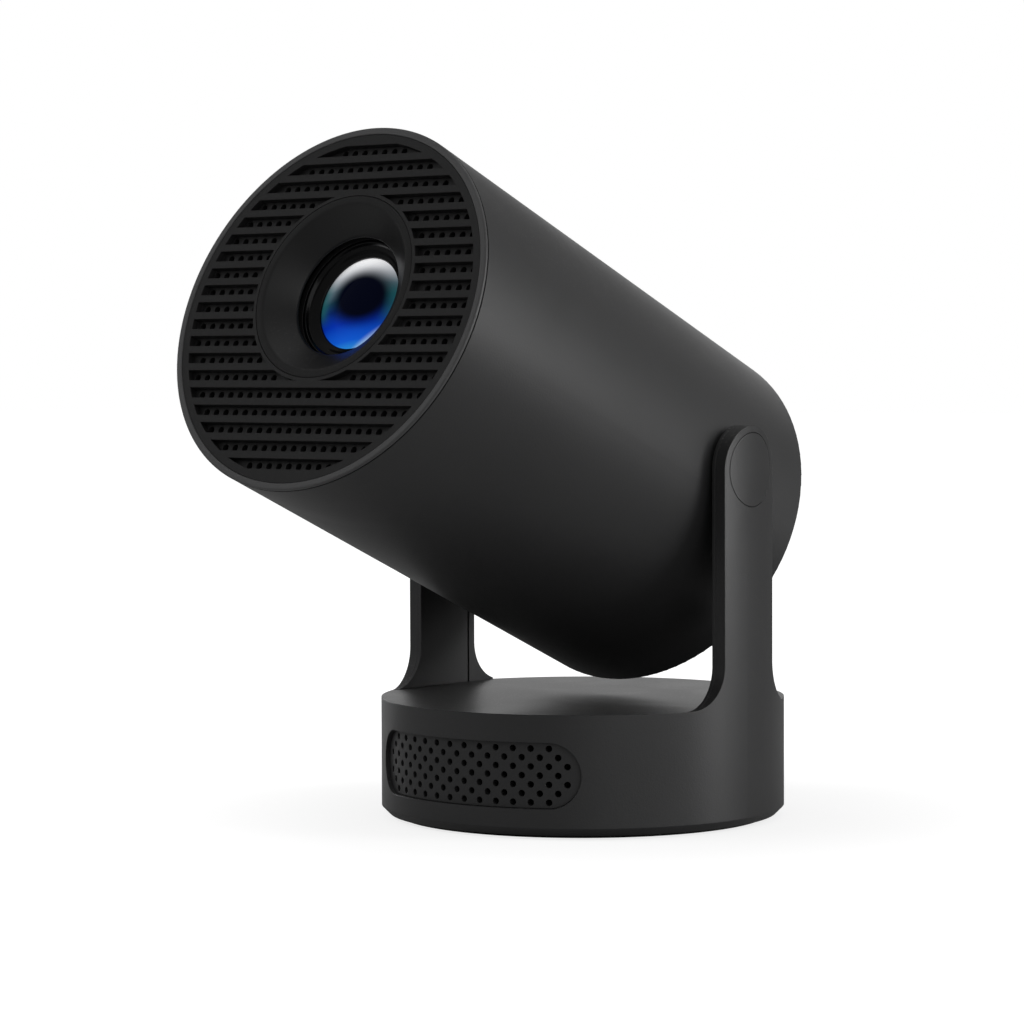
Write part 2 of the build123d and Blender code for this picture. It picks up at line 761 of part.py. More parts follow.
with BuildPart() as front_grille:
    disc(barrel_plane, rebate_start, grille_face, ring_inner_radius - slip_fit)
    with BuildSketch(barrel_plane.offset(grille_face)) as slots:
        with Locations((0, slot_rise)):
            with GridLocations(1, slot_pitch, 1, slot_rows):
                Rectangle(2 * slot_field_radius, slot_height)
        Circle(slot_field_radius, mode=Mode.INTERSECT)
        with Locations((0, lens_rise)):
            Circle(slot_keep_out, mode=Mode.SUBTRACT)
    extrude(slots.sketch, amount=-slot_depth, mode=Mode.SUBTRACT)
    with BuildSketch(barrel_plane.offset(slot_floor)) as holes:
        for row in range(slot_rows):
            row_y = slot_rise + (row - (slot_rows - 1) / 2) * slot_pitch
            with Locations(*row_holes(row_y)):
                Circle(sound_hole_radius)
    extrude(holes.sketch, amount=rebate_start - slot_floor, mode=Mode.SUBTRACT)
    disc(lens_plane, rebate_start, grille_face, hood_radius + seam, Mode.SUBTRACT)
finish(front_grille.part, "front_grille")

with BuildPart() as lens_hood:
    with BuildSketch(lens_section):
        with BuildLine():
            Polyline(
                (hood_back, funnel_throat),
                (grille_face - funnel_depth, funnel_throat),
                (grille_face, funnel_radius),
                (grille_face, hood_radius),
                (rebate_start, hood_radius),
                (rebate_start, hood_radius + hood_flange),
                (hood_back, hood_radius + hood_flange),
                close=True,
            )
        make_face()
    revolve(axis=lens_axis)
finish(lens_hood.part, "lens_hood")

# ======================================================================
# Projection lens and focus drive
# ======================================================================
cell_front = hood_back - lens_travel - 2 * sliding_gap
cell_rear = cell_front - cell_length
mount_bore = cell_radius + seam
mount_tube_end = cell_rear + mount_tube_reach
gear_start = mount_tube_end + gear_play
ring_front = gear_start + gear_width + ring_collar - gear_play
ring_inner_gap = mount_tube_end + sliding_gap
mount_back = duct_front
flange_front = mount_back + mount_flange_thickness
ring_pitch_radius = gear_module * ring_teeth / 2
pinion_pitch_radius = gear_module * pinion_teeth / 2
motor_drop = ring_pitch_radius + pinion_pitch_radius + centre_relief
motor_plane = Plane(
    origin=lens_plane.from_local_coords((0, -motor_drop, 0)), x_dir=(1, 0, 0), z_dir=forward
)
motor_front = flange_front + motor_length


def gear_teeth(plane, pitch_radius, teeth, start_angle):
    """Adds straight teeth round a pitch circle; start_angle points at the first tooth."""
    with Locations(plane):
        with PolarLocations(pitch_radius - tooth_root / 2, teeth, start_angle=start_angle):
            Box(tooth_height + 2 * tooth_root, tooth_thickness, gear_width, align=centred)


with BuildPart() as lens_mount:
    disc(lens_plane, mount_back, flange_front, mount_flange_radius)
    disc(motor_plane, mount_back, flange_front, motor_radius + motor_lug)
    disc(lens_plane, flange_front, mount_tube_end, mount_radius)
    disc(lens_plane, mount_back, mount_tube_end, mount_bore, Mode.SUBTRACT)
finish(lens_mount.part, "lens_mount")

with BuildPart() as lens_cell:
    disc(lens_plane, cell_rear, cell_front, cell_radius)
    disc(lens_plane, cell_rear, cell_front, cell_bore, Mode.SUBTRACT)
    disc(lens_plane, cell_front - retainer_depth, cell_front, retainer_radius + slip_fit, Mode.SUBTRACT)
finish(lens_cell.part, "lens_cell")

retainer_back = cell_front - retainer_depth
with BuildPart() as lens_retainer:
    with BuildSketch(lens_section):
        with BuildLine():
            Polyline(
                (retainer_back, bezel_opening),
                (retainer_back, retainer_radius),
                (cell_front, retainer_radius),
                (cell_front, retainer_radius - retainer_lip),
                (retainer_back + retainer_edge, bezel_opening),
                close=True,
            )
        make_face()
    revolve(axis=lens_axis)
finish(lens_retainer.part, "lens_retainer")


def lens_element(back, front, radius, front_sag, back_sag):
    """Adds a lens turned about the optical axis; a sag above zero bulges outwards."""
    with BuildSketch(lens_section) as outline:
        with BuildLine():
            Line((back - back_sag, 0), (front + front_sag, 0))
            if front_sag:
                front_curve = (radius**2 + front_sag**2) / (2 * front_sag)
                RadiusArc((front + front_sag, 0), (front, radius), -front_curve)
            else:
                Line((front, 0), (front, radius))
            Line((front, radius), (back, radius))
            if back_sag:
                back_curve = (radius**2 + back_sag**2) / (2 * back_sag)
                RadiusArc((back, radius), (back - back_sag, 0), -back_curve)
            else:
                Line((back, radius), (back, 0))
        make_face()
    revolve(outline.sketch, axis=lens_axis)


with BuildPart() as front_lens:
    front_lens_seat = retainer_back - sliding_gap - slip_fit
    lens_element(front_lens_seat - front_lens_edge, front_lens_seat, front_lens_radius, front_lens_sag, 0)
    disc(lens_plane, front_lens_seat - front_lens_edge, front_lens_seat - rim_softening, cell_bore - slip_fit)
finish(front_lens.part, "front_lens")

with BuildPart() as rear_lens:
    rear_seat = cell_rear + rear_lens_inset
    lens_element(rear_seat, rear_seat + rear_lens_edge, rear_lens_radius, rear_lens_sag, rear_lens_back_sag)
finish(rear_lens.part, "rear_lens")

with BuildPart() as lens_spacer:
    spacer_back = rear_seat + rear_lens_edge + 2 * sliding_gap
    disc(lens_plane, spacer_back, front_lens_seat - front_lens_edge, cell_bore - slip_fit)
    disc(lens_plane, rear_seat, front_lens_seat, rear_lens_radius - spacer_wall, Mode.SUBTRACT)
finish(lens_spacer.part, "lens_spacer")

with BuildPart() as focus_ring:
    skirt_back = gear_start - ring_skirt
    disc(lens_plane, skirt_back, ring_front, mount_radius + ring_wall)
    disc(lens_plane, gear_start, gear_start + gear_width, ring_pitch_radius - tooth_height / 2 - tooth_root)
    gear_teeth(lens_plane.offset(gear_start), ring_pitch_radius, ring_teeth, -90 + 180 / ring_teeth)
    disc(lens_plane, skirt_back, ring_inner_gap, mount_radius + sliding_gap, Mode.SUBTRACT)
    disc(lens_plane, ring_inner_gap, ring_front, mount_bore, Mode.SUBTRACT)
finish(focus_ring.part, "focus_ring")

with BuildPart() as focus_motor:
    disc(motor_plane, flange_front, motor_front, motor_radius)
    disc(motor_plane, motor_front, motor_front + motor_boss, motor_radius / 2)
    disc(motor_plane, motor_front, gear_start + gear_width, motor_shaft_radius)
    block(
        motor_plane, flange_front, flange_front + motor_terminal_depth, motor_radius, motor_terminal_height,
        centre=(0, -motor_radius),
    )
finish(focus_motor.part, "focus_motor")

with BuildPart() as motor_pinion:
    pinion_root = pinion_pitch_radius - tooth_height / 2 - tooth_root
    disc(motor_plane, gear_start, gear_start + gear_width, pinion_root)
    gear_teeth(motor_plane.offset(gear_start), pinion_pitch_radius, pinion_teeth, 90)
    disc(motor_plane, gear_start, gear_start + gear_width, motor_shaft_radius + running_fit, Mode.SUBTRACT)
finish(motor_pinion.part, "motor_pinion")

# ======================================================================
# Light engine
# ======================================================================
inner_width = duct_width - 2 * duct_wall
inner_height = duct_height - 2 * duct_wall
plate_size = (inner_width - 2 * slip_fit, inner_height - 2 * slip_fit)


def duct_loft(shrink, mode=Mode.ADD):
    """Adds or cuts the tapering box between the straight duct and the lens mount."""
    with BuildSketch(lens_plane.offset(duct_straight_end)) as wide_end:
        Rectangle(duct_width - shrink, duct_height - shrink)
    with BuildSketch(lens_plane.offset(duct_front)) as narrow_end:
        Rectangle(duct_front_width - shrink, duct_height - shrink)
    loft([wide_end.sketch.face(), narrow_end.sketch.face()], mode=mode)


with BuildPart() as optical_housing:
    block(lens_plane, duct_start, duct_straight_end, duct_width, duct_height)
    duct_loft(0)
    block(lens_plane, duct_start, duct_straight_end, inner_width, inner_height, mode=Mode.SUBTRACT)
    duct_loft(2 * duct_wall, Mode.SUBTRACT)
finish(optical_housing.part, "optical_housing")


def engine_plate(station, thickness, name):
    """Writes one flat optical plate that stands across the light duct."""
    with BuildPart() as plate:
        block(lens_plane, station, station + thickness, *plate_size)
    finish(plate.part, name)


engine_plate(lcd_station - fresnel_spacing, fresnel_thickness, "rear_fresnel")
engine_plate(lcd_station, lcd_thickness, "lcd_panel")
engine_plate(lcd_station + fresnel_spacing, fresnel_thickness, "front_fresnel")

with BuildPart() as condenser_holder:
    condenser_back = condenser_station - holder_back
    condenser_front = condenser_station + holder_front
    block(lens_plane, condenser_back, condenser_front, *plate_size)
    disc(lens_plane, condenser_back, condenser_front, condenser_radius - condenser_lip, Mode.SUBTRACT)
    disc(lens_plane, condenser_station, condenser_front, condenser_radius + slip_fit, Mode.SUBTRACT)
finish(condenser_holder.part, "condenser_holder")

with BuildPart() as condenser_lens:
    lens_element(condenser_station, condenser_station + condenser_edge, condenser_radius, condenser_sag, 0)
finish(condenser_lens.part, "condenser_lens")

led_face = duct_start - slip_fit
led_back = led_face - led_board_thickness
with BuildPart() as led_board:
    block(lens_plane, led_back, led_face, inner_width, led_board_size)
    with Locations(lens_plane.offset(led_back)):
        with GridLocations(inner_width - led_board_inset, led_board_size - led_board_inset, 2, 2):
            Cylinder(led_board_hole, led_board_thickness, align=centred, mode=Mode.SUBTRACT)
finish(led_board.part, "led_board")

with BuildPart() as led_emitter:
    block(lens_plane, led_face, led_face + led_thickness, led_size, led_size)
    chamfer(led_emitter.edges().filter_by(lens_axis), led_corner)
finish(led_emitter.part, "led_emitter")

fan_back = cap_back + slip_fit
fan_front = fan_back + fan_depth
sink_back = fan_front + sink_gap
sink_fin_length = led_back - sink_base - sink_back
with BuildPart() as heat_sink:
    block(lens_plane, led_back - sink_base, led_back, sink_width, sink_height)
    with Locations(lens_plane.offset(sink_back)):
        with GridLocations((sink_width - fin_thickness) / (fin_count - 1), 1, fin_count, 1):
            Box(fin_thickness, sink_height, sink_fin_length, align=centred)
finish(heat_sink.part, "heat_sink")

with BuildPart() as engine_bracket:
    bracket_end = bracket_start + bracket_thickness
    disc(barrel_plane, bracket_start, bracket_end, barrel_bore - slip_fit)
    block(
        lens_plane, bracket_start, bracket_end, duct_width + 2 * slip_fit, duct_height + 2 * slip_fit,
        mode=Mode.SUBTRACT,
    )
    block(
        barrel_plane, bracket_start, bracket_end, board_width + bracket_board_margin, barrel_radius,
        centre=(0, board_top_y + bracket_board_gap - barrel_radius / 2), mode=Mode.SUBTRACT,
    )
    for angle in bracket_vent_angles:
        vent_place = (bracket_vent_circle * cos(radians(angle)), bracket_vent_circle * sin(radians(angle)), 0)
        with Locations(barrel_plane.offset(bracket_start)):
            with Locations(vent_place):
                Cylinder(bracket_vent_radius, bracket_thickness, align=centred, mode=Mode.SUBTRACT)
    for angle in engine_boss_angles:
        with Locations(barrel_plane.offset(bracket_start)):
            with Locations(on_screw_circle(angle)):
                Cylinder(screw_radius + seam, bracket_thickness, align=centred, mode=Mode.SUBTRACT)
finish(engine_bracket.part, "engine_bracket")

# ======================================================================
# Cooling fan
# ======================================================================
fan_plane = Plane(
    origin=barrel_plane.from_local_coords((0, fan_rise, 0)), x_dir=(1, 0, 0), z_dir=forward
)
spider_back = fan_front - fan_spider

with BuildPart() as fan_frame:
    block(fan_plane, fan_back, fan_front, fan_size, fan_size)
    disc(fan_plane, fan_back, fan_front, fan_bore, Mode.SUBTRACT)
    disc(fan_plane, spider_back, fan_front, rotor_hub_radius)
    for spider_angle in spider_angles:
        with Locations(fan_plane.offset(spider_back)):
            Box(
                2 * fan_bore + overshoot, spider_width, fan_spider,
                align=centred, rotation=(0, 0, spider_angle),
            )
    disc(fan_plane, fan_back + fan_pin_back, spider_back, fan_pin_radius)
finish(fan_frame.part, "fan_frame")

rotor_back = fan_back + rotor_back_gap
rotor_front = spider_back - rotor_front_gap
with BuildPart() as fan_rotor:
    disc(fan_plane, rotor_back, rotor_front, rotor_hub_radius)
    blade_span = rotor_radius - rotor_hub_radius + overshoot
    with Locations(fan_plane.offset((rotor_back + rotor_front) / 2)):
        with PolarLocations(rotor_hub_radius - overshoot + blade_span / 2, rotor_blades):
            Box(blade_span, blade_chord, blade_thickness, rotation=(blade_pitch, 0, 0))
    disc(fan_plane, rotor_back, rotor_front, rotor_radius, Mode.INTERSECT)
    pin_hole_back = fan_back + fan_pin_back - sliding_gap
    disc(fan_plane, pin_hole_back, rotor_front, fan_pin_radius + running_fit, Mode.SUBTRACT)
finish(fan_rotor.part, "fan_rotor")

# ======================================================================
# Rear cap, boards and sockets
# ======================================================================
bay_floor = cap_face + bay_depth
bay_back = bay_floor + bay_wall
control_board_back = cap_back + post_length

with BuildPart() as rear_cap:
    disc(barrel_plane, cap_face, cap_back, barrel_bore - slip_fit)
    with BuildSketch(fan_plane.offset(cap_face)) as vents:
        vent_rows = 2 * int(vent_field_radius / vent_pitch) + 1
        with GridLocations(1, vent_pitch, 1, vent_rows):
            Rectangle(2 * vent_field_radius, vent_height)
        Circle(vent_field_radius, mode=Mode.INTERSECT)
        Rectangle(vent_rib, 2 * vent_field_radius, mode=Mode.SUBTRACT)
    extrude(vents.sketch, amount=cap_thickness, mode=Mode.SUBTRACT)
    bay_centre = (0, bay_y)
    block(barrel_plane, cap_face, bay_back, bay_width + 2 * bay_wall, bay_height + 2 * bay_wall, bay_centre)
    with BuildSketch(barrel_plane.offset(cap_face)) as bay:
        with Locations(bay_centre):
            RectangleRounded(bay_width, bay_height, bay_corner)
    extrude(bay.sketch, amount=bay_depth, mode=Mode.SUBTRACT)
    for x, width, height, depth in connectors.values():
        block(
            barrel_plane, bay_floor - overshoot, bay_back, width + 2 * slip_fit, height + 2 * slip_fit,
            centre=(x, board_top_y + height / 2), mode=Mode.SUBTRACT,
        )
    with Locations(barrel_plane.offset(cap_back)):
        with Locations((-post_x, control_y, 0), (post_x, control_y, 0)):
            Cylinder(post_radius, post_length, align=centred)
    with Locations(barrel_plane.offset(cap_face)):
        with Locations((0, control_y, 0)):
            Cylinder(button_radius + seam, cap_thickness, align=centred, mode=Mode.SUBTRACT)
        with Locations((-control_x, control_y, 0)):
            Cylinder(lamp_radius + slip_fit, cap_thickness, align=centred, mode=Mode.SUBTRACT)
    with BuildSketch(barrel_plane.offset(cap_face)) as window_hole:
        with Locations((control_x, control_y)):
            SlotOverall(window_length + 2 * slip_fit, window_height + 2 * slip_fit)
    extrude(window_hole.sketch, amount=cap_thickness, mode=Mode.SUBTRACT)
    for angle in rear_screw_angles:
        with Locations(barrel_plane.offset(cap_face)):
            with Locations(on_screw_circle(angle)):
                Cylinder(screw_head_radius + seam, screw_head_height, align=centred, mode=Mode.SUBTRACT)
                Cylinder(screw_radius + seam, cap_thickness, align=centred, mode=Mode.SUBTRACT)
finish(rear_cap.part, "rear_cap")

with BuildPart() as rear_screws:
    for angle in rear_screw_angles:
        with Locations(barrel_plane.offset(cap_face)):
            with Locations(on_screw_circle(angle)):
                screw(rear_screw_length)
finish(rear_screws.part, "rear_screws")

with BuildPart() as engine_screws:
    for angle in engine_boss_angles:
        with Locations(barrel_plane.offset(bracket_end)):
            with Locations(on_screw_circle(angle)):
                Cylinder(screw_head_radius, screw_head_height, align=centred)
        with Locations(barrel_plane.offset(bracket_end - engine_screw_length)):
            with Locations(on_screw_circle(angle)):
                Cylinder(screw_radius, engine_screw_length, align=centred)
finish(engine_screws.part, "engine_screws")

with BuildPart() as power_button:
    with Locations(barrel_plane.offset(rear_face + button_proud)):
        with Locations((0, control_y, 0)):
            Cylinder(button_radius, cap_back - rear_face, align=centred)
    fillet(power_button.edges().filter_by(GeomType.CIRCLE).sort_by(Axis.Y)[-1], rim_softening)
    with Locations(barrel_plane.offset(cap_back)):
        with Locations((0, control_y, 0)):
            Cylinder(button_radius + button_lip, button_flange, align=centred)
finish(power_button.part, "power_button")

switch_back = cap_back + button_flange + button_travel + slip_fit
with BuildPart() as button_switch:
    block(barrel_plane, switch_back, control_board_back, switch_size, switch_size, (0, control_y))
finish(button_switch.part, "button_switch")

with BuildPart() as control_board:
    block(
        barrel_plane, control_board_back, control_board_back + control_board_thickness,
        control_board_width, control_board_height, (0, control_y),
    )
finish(control_board.part, "control_board")

with BuildPart() as status_light:
    with Locations(barrel_plane.offset(cap_face - lamp_proud)):
        with Locations((-control_x, control_y, 0)):
            Cylinder(lamp_radius, control_board_back - cap_face + lamp_proud, align=centred)
finish(status_light.part, "status_light")

with BuildPart() as ir_window:
    with BuildSketch(barrel_plane.offset(cap_face + window_inset)) as window_face:
        with Locations((control_x, control_y)):
            SlotOverall(window_length, window_height)
    extrude(window_face.sketch, amount=cap_thickness - 2 * window_inset)
finish(ir_window.part, "ir_window")

with BuildPart() as main_board:
    block(
        barrel_plane, board_rear, board_rear + board_length, board_width, board_thickness,
        centre=(0, board_top_y - board_thickness / 2),
    )
    for chip_x, chip_z, chip_size in chips:
        block(
            barrel_plane, board_rear + chip_z, board_rear + chip_z + chip_size, chip_size, chip_height,
            centre=(chip_x, board_top_y + chip_height / 2),
        )
finish(main_board.part, "main_board")

socket_face = bay_floor - socket_lip
for name, (x, width, height, depth) in connectors.items():
    middle = (x, board_top_y + height / 2)
    inside = (width - 2 * socket_wall, height - 2 * socket_wall)
    with BuildPart() as socket:
        block(barrel_plane, socket_face, bay_floor + depth, width, height, middle)
        if name == "usb_socket":
            usb_end = bay_floor + socket_bore_depth
            tongue = (x, middle[1] + usb_tongue_rise)
            block(barrel_plane, socket_face, usb_end, *inside, middle, Mode.SUBTRACT)
            block(
                barrel_plane, bay_floor + socket_wall, usb_end,
                width - 2 * usb_tongue_inset, usb_tongue_height, tongue,
            )
        elif name == "video_socket":
            video_end = bay_floor + video_bore_depth
            block(barrel_plane, socket_face, video_end, *inside, middle, Mode.SUBTRACT)
            block(
                barrel_plane, bay_floor + socket_wall, video_end, width - 2 * video_tongue_inset,
                video_tongue_height, middle,
            )
        else:
            bore = power_bore_radius if name == "power_inlet" else audio_bore_radius
            with Locations(barrel_plane.offset(socket_face)):
                with Locations((x, middle[1], 0)):
                    Cylinder(bore, socket_bore_depth, align=centred, mode=Mode.SUBTRACT)
            if name == "power_inlet":
                with Locations(barrel_plane.offset(bay_floor + overshoot)):
                    with Locations((x, middle[1], 0)):
                        Cylinder(power_pin_radius, socket_bore_depth - overshoot, align=centred)
    finish(socket.part, name)

print("pieces", len(pieces))
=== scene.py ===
"""Looks of the home projector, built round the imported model. Metres, in the model's own frame."""

import json
import math

import bmesh
import bpy
from mathutils import Matrix, Vector


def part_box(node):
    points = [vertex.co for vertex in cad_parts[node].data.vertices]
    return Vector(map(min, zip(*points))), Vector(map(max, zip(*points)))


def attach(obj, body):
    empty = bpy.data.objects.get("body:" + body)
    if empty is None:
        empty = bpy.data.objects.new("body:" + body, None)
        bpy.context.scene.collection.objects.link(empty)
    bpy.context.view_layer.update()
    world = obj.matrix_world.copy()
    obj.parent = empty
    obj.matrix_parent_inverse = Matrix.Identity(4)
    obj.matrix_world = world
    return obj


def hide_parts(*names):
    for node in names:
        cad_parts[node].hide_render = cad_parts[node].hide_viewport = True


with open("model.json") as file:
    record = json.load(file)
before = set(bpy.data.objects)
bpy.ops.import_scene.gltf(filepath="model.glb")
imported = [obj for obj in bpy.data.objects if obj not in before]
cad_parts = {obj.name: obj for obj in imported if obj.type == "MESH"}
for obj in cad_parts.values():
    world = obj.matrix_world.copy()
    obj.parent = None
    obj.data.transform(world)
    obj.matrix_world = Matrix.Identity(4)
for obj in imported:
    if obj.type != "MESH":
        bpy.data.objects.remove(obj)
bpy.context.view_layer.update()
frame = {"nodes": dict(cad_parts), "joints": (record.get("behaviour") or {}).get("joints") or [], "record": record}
nodes = frame["nodes"]
joints = {joint["name"]: joint for joint in frame["joints"]}
MM = 0.001

# ======================================================================
# Axes of the barrel and of the lens, from the model's joints
# ======================================================================
FORWARD = Vector(joints["focus_turn"]["axis"]).normalized()
ACROSS = Vector((1, 0, 0))
RISE = FORWARD.cross(ACROSS)
UP = Vector((0, 0, 1))
LENS_RISE = 5.7 * MM
BUTTON_DROP = 19.0 * MM
LENS = Vector(joints["focus_turn"]["pos_m"])
BARREL = LENS - RISE * LENS_RISE
FAN = Vector(joints["fan_spin"]["pos_m"])


def axis_matrix(origin, direction, across=ACROSS):
    """A frame whose z runs along the direction and whose x is the object's own x."""
    side = direction.cross(across).normalized()
    return Matrix.Translation(origin) @ Matrix((across, side, direction)).transposed().to_4x4()


BARREL_FRAME = axis_matrix(BARREL, FORWARD)
LENS_FRAME = axis_matrix(LENS, FORWARD)
FAN_FRAME = axis_matrix(FAN, FORWARD)
BUTTON_FRAME = axis_matrix(BARREL - RISE * BUTTON_DROP, FORWARD)
STAND_FRAME = Matrix.Identity(4)


def reach(node, turn_frame):
    """A node's lowest and highest place along an axis, and its least and greatest distance from it."""
    back = turn_frame.inverted()
    places = [back @ v.co for v in nodes[node].data.vertices]
    radii = [math.hypot(p.x, p.y) for p in places]
    stations = [p.z for p in places]
    return min(stations), max(stations), min(radii), max(radii)


# ======================================================================
# Shader effects shared by the finishes
# ======================================================================
def effect(name, inputs, outputs):
    """A shader node group with named sockets."""
    tree = bpy.data.node_groups.new(name, "ShaderNodeTree")
    for label, kind, value in inputs:
        socket = tree.interface.new_socket(label, in_out="INPUT", socket_type=kind)
        if value is not None:
            socket.default_value = value
    for label, kind in outputs:
        tree.interface.new_socket(label, in_out="OUTPUT", socket_type=kind)
    return tree, tree.nodes.new("NodeGroupInput"), tree.nodes.new("NodeGroupOutput")


def add(tree, kind, links=(), **settings):
    """One node, with its settings, and its inputs linked or set by name or number."""
    node = tree.nodes.new(kind)
    for key, value in settings.items():
        setattr(node, key, value)
    for key, value in dict(links).items():
        if isinstance(value, bpy.types.NodeSocket):
            tree.links.new(value, node.inputs[key])
        else:
            node.inputs[key].default_value = value
    return node


def maths(tree, operation, first, second=0.0):
    return add(tree, "ShaderNodeMath", {0: first, 1: second}, operation=operation).outputs[0]


def spread(tree, value, low, high):
    """A value from 0 to 1 mapped to lie between low and high."""
    return add(tree, "ShaderNodeMapRange", {"Value": value, "To Min": low, "To Max": high}).outputs[0]


def moulded_grain():
    """Fine spark-eroded texture of a moulded face, with slow unevenness from the mould's polish."""
    tree, given, out = effect(
        "moulded_grain",
        [("Vector", "NodeSocketVector", None), ("Grain", "NodeSocketFloat", 2600.0),
         ("Unevenness", "NodeSocketFloat", 22.0)],
        [("Height", "NodeSocketFloat"), ("Tone", "NodeSocketFloat")],
    )
    fine = add(tree, "ShaderNodeTexNoise", {
        "Vector": given.outputs["Vector"], "Scale": given.outputs["Grain"], "Detail": 2.0,
    })
    pits = add(tree, "ShaderNodeTexVoronoi", {
        "Vector": given.outputs["Vector"], "Scale": maths(tree, "MULTIPLY", given.outputs["Grain"], 0.6),
    })
    slow = add(tree, "ShaderNodeTexNoise", {
        "Vector": given.outputs["Vector"], "Scale": given.outputs["Unevenness"], "Detail": 3.0,
    })
    height = maths(tree, "MULTIPLY_ADD", pits.outputs["Distance"], 0.5)
    tree.links.new(fine.outputs[0], height.node.inputs[2])
    tree.links.new(height, out.inputs["Height"])
    grainy = maths(tree, "MULTIPLY", fine.outputs[0], 0.35)
    tone = maths(tree, "MULTIPLY_ADD", slow.outputs[0], 0.65)
    tree.links.new(grainy, tone.node.inputs[2])
    tree.links.new(tone, out.inputs["Tone"])
    return tree


def handling_smears():
    """Faint patches where fingers have polished or greased the finish."""
    tree, given, out = effect(
        "handling_smears",
        [("Vector", "NodeSocketVector", None), ("Size", "NodeSocketFloat", 30.0)],
        [("Smear", "NodeSocketFloat")],
    )
    cloud = add(tree, "ShaderNodeTexNoise", {
        "Vector": given.outputs["Vector"], "Scale": given.outputs["Size"], "Detail": 4.0, "Distortion": 0.8,
    })
    mask = add(tree, "ShaderNodeMapRange", {
        "Value": cloud.outputs[0], "From Min": 0.42, "From Max": 0.68,
    }, interpolation_type="SMOOTHSTEP")
    tree.links.new(mask.outputs[0], out.inputs["Smear"])
    return tree


def settled_dust():
    """Specks on faces that look up."""
    tree, given, out = effect(
        "settled_dust",
        [("Vector", "NodeSocketVector", None), ("Amount", "NodeSocketFloat", 0.3)],
        [("Dust", "NodeSocketFloat")],
    )
    facing = add(tree, "ShaderNodeSeparateXYZ", {0: add(tree, "ShaderNodeNewGeometry").outputs["Normal"]})
    up = add(tree, "ShaderNodeMapRange", {
        "Value": facing.outputs["Z"], "From Min": 0.35, "From Max": 0.95,
    })
    specks = add(tree, "ShaderNodeTexNoise", {
        "Vector": given.outputs["Vector"], "Scale": 1400.0, "Detail": 1.0,
    })
    few = add(tree, "ShaderNodeMapRange", {
        "Value": specks.outputs[0], "From Min": 0.6, "From Max": 0.72,
    })
    on_top = maths(tree, "MULTIPLY", up.outputs[0], few.outputs[0])
    dust = maths(tree, "MULTIPLY", on_top, given.outputs["Amount"])
    tree.links.new(dust, out.inputs["Dust"])
    return tree


def turned_marks():
    """Fine concentric marks of a turned or wiped face, round the z of the vector given."""
    tree, given, out = effect(
        "turned_marks",
        [("Vector", "NodeSocketVector", None), ("Pitch", "NodeSocketFloat", 4000.0)],
        [("Height", "NodeSocketFloat")],
    )
    rings = add(tree, "ShaderNodeTexWave", {
        "Vector": given.outputs["Vector"], "Scale": given.outputs["Pitch"], "Distortion": 1.2,
        "Detail": 2.0, "Detail Scale": 1.5,
    }, wave_type="RINGS", rings_direction="Z")
    tree.links.new(rings.outputs["Fac"], out.inputs["Height"])
    return tree


GRAIN = moulded_grain()
SMEARS = handling_smears()
DUST = settled_dust()
MARKS = turned_marks()


def new_material(name):
    material = bpy.data.materials.new(name)
    material.use_nodes = True
    tree = material.node_tree
    return material, tree, tree.nodes["Principled BSDF"]


def place(tree, turn_frame=None):
    """Object coordinates, centred and turned onto a piece's own axis where one is given."""
    where = add(tree, "ShaderNodeTexCoord").outputs["Object"]
    if turn_frame is None:
        return where
    back = turn_frame.inverted()
    mapping = add(tree, "ShaderNodeMapping", {"Vector": where}, vector_type="POINT")
    mapping.inputs["Location"].default_value = back.translation
    mapping.inputs["Rotation"].default_value = back.to_euler()
    return mapping.outputs[0]


def shaded(colour, share):
    return tuple(min(1.0, c * share) for c in colour[:3]) + (1.0,)


def plastic(name, colour, roughness, grain=2600.0, depth=0.00003, specular=0.5, coat=0.0,
            dust=0.25, softness=0.00035, contrast=0.22):
    """A moulded plastic or rubber with grain, tone drift, smears, dust and softened edges."""
    material, tree, shader = new_material(name)
    where = place(tree)
    grains = add(tree, "ShaderNodeGroup", node_tree=GRAIN)
    grains.inputs["Grain"].default_value = grain
    tree.links.new(where, grains.inputs["Vector"])
    smears = add(tree, "ShaderNodeGroup", node_tree=SMEARS)
    tree.links.new(where, smears.inputs["Vector"])
    specks = add(tree, "ShaderNodeGroup", node_tree=DUST)
    specks.inputs["Amount"].default_value = dust
    tree.links.new(where, specks.inputs["Vector"])
    drift = add(tree, "ShaderNodeMix", {
        0: grains.outputs["Tone"], 6: shaded(colour, 1 - contrast), 7: shaded(colour, 1 + contrast),
    }, data_type="RGBA")
    dusty = add(tree, "ShaderNodeMix", {
        0: specks.outputs["Dust"], 6: drift.outputs[2], 7: (0.28, 0.27, 0.26, 1),
    }, data_type="RGBA")
    tree.links.new(dusty.outputs[2], shader.inputs["Base Color"])
    rough = spread(tree, grains.outputs["Tone"], roughness - 0.03, roughness + 0.04)
    polished = maths(tree, "MULTIPLY_ADD", smears.outputs["Smear"], -0.035)
    tree.links.new(rough, polished.node.inputs[2])
    tree.links.new(polished, shader.inputs["Roughness"])
    edges = add(tree, "ShaderNodeBevel", {"Radius": softness}, samples=4)
    bump = add(tree, "ShaderNodeBump", {
        "Strength": 0.5, "Distance": depth, "Height": grains.outputs["Height"], "Normal": edges.outputs[0],
    })
    tree.links.new(bump.outputs[0], shader.inputs["Normal"])
    shader.inputs["Specular IOR Level"].default_value = specular
    shader.inputs["Coat Weight"].default_value = coat
    shader.inputs["Coat Roughness"].default_value = 0.08
    return material


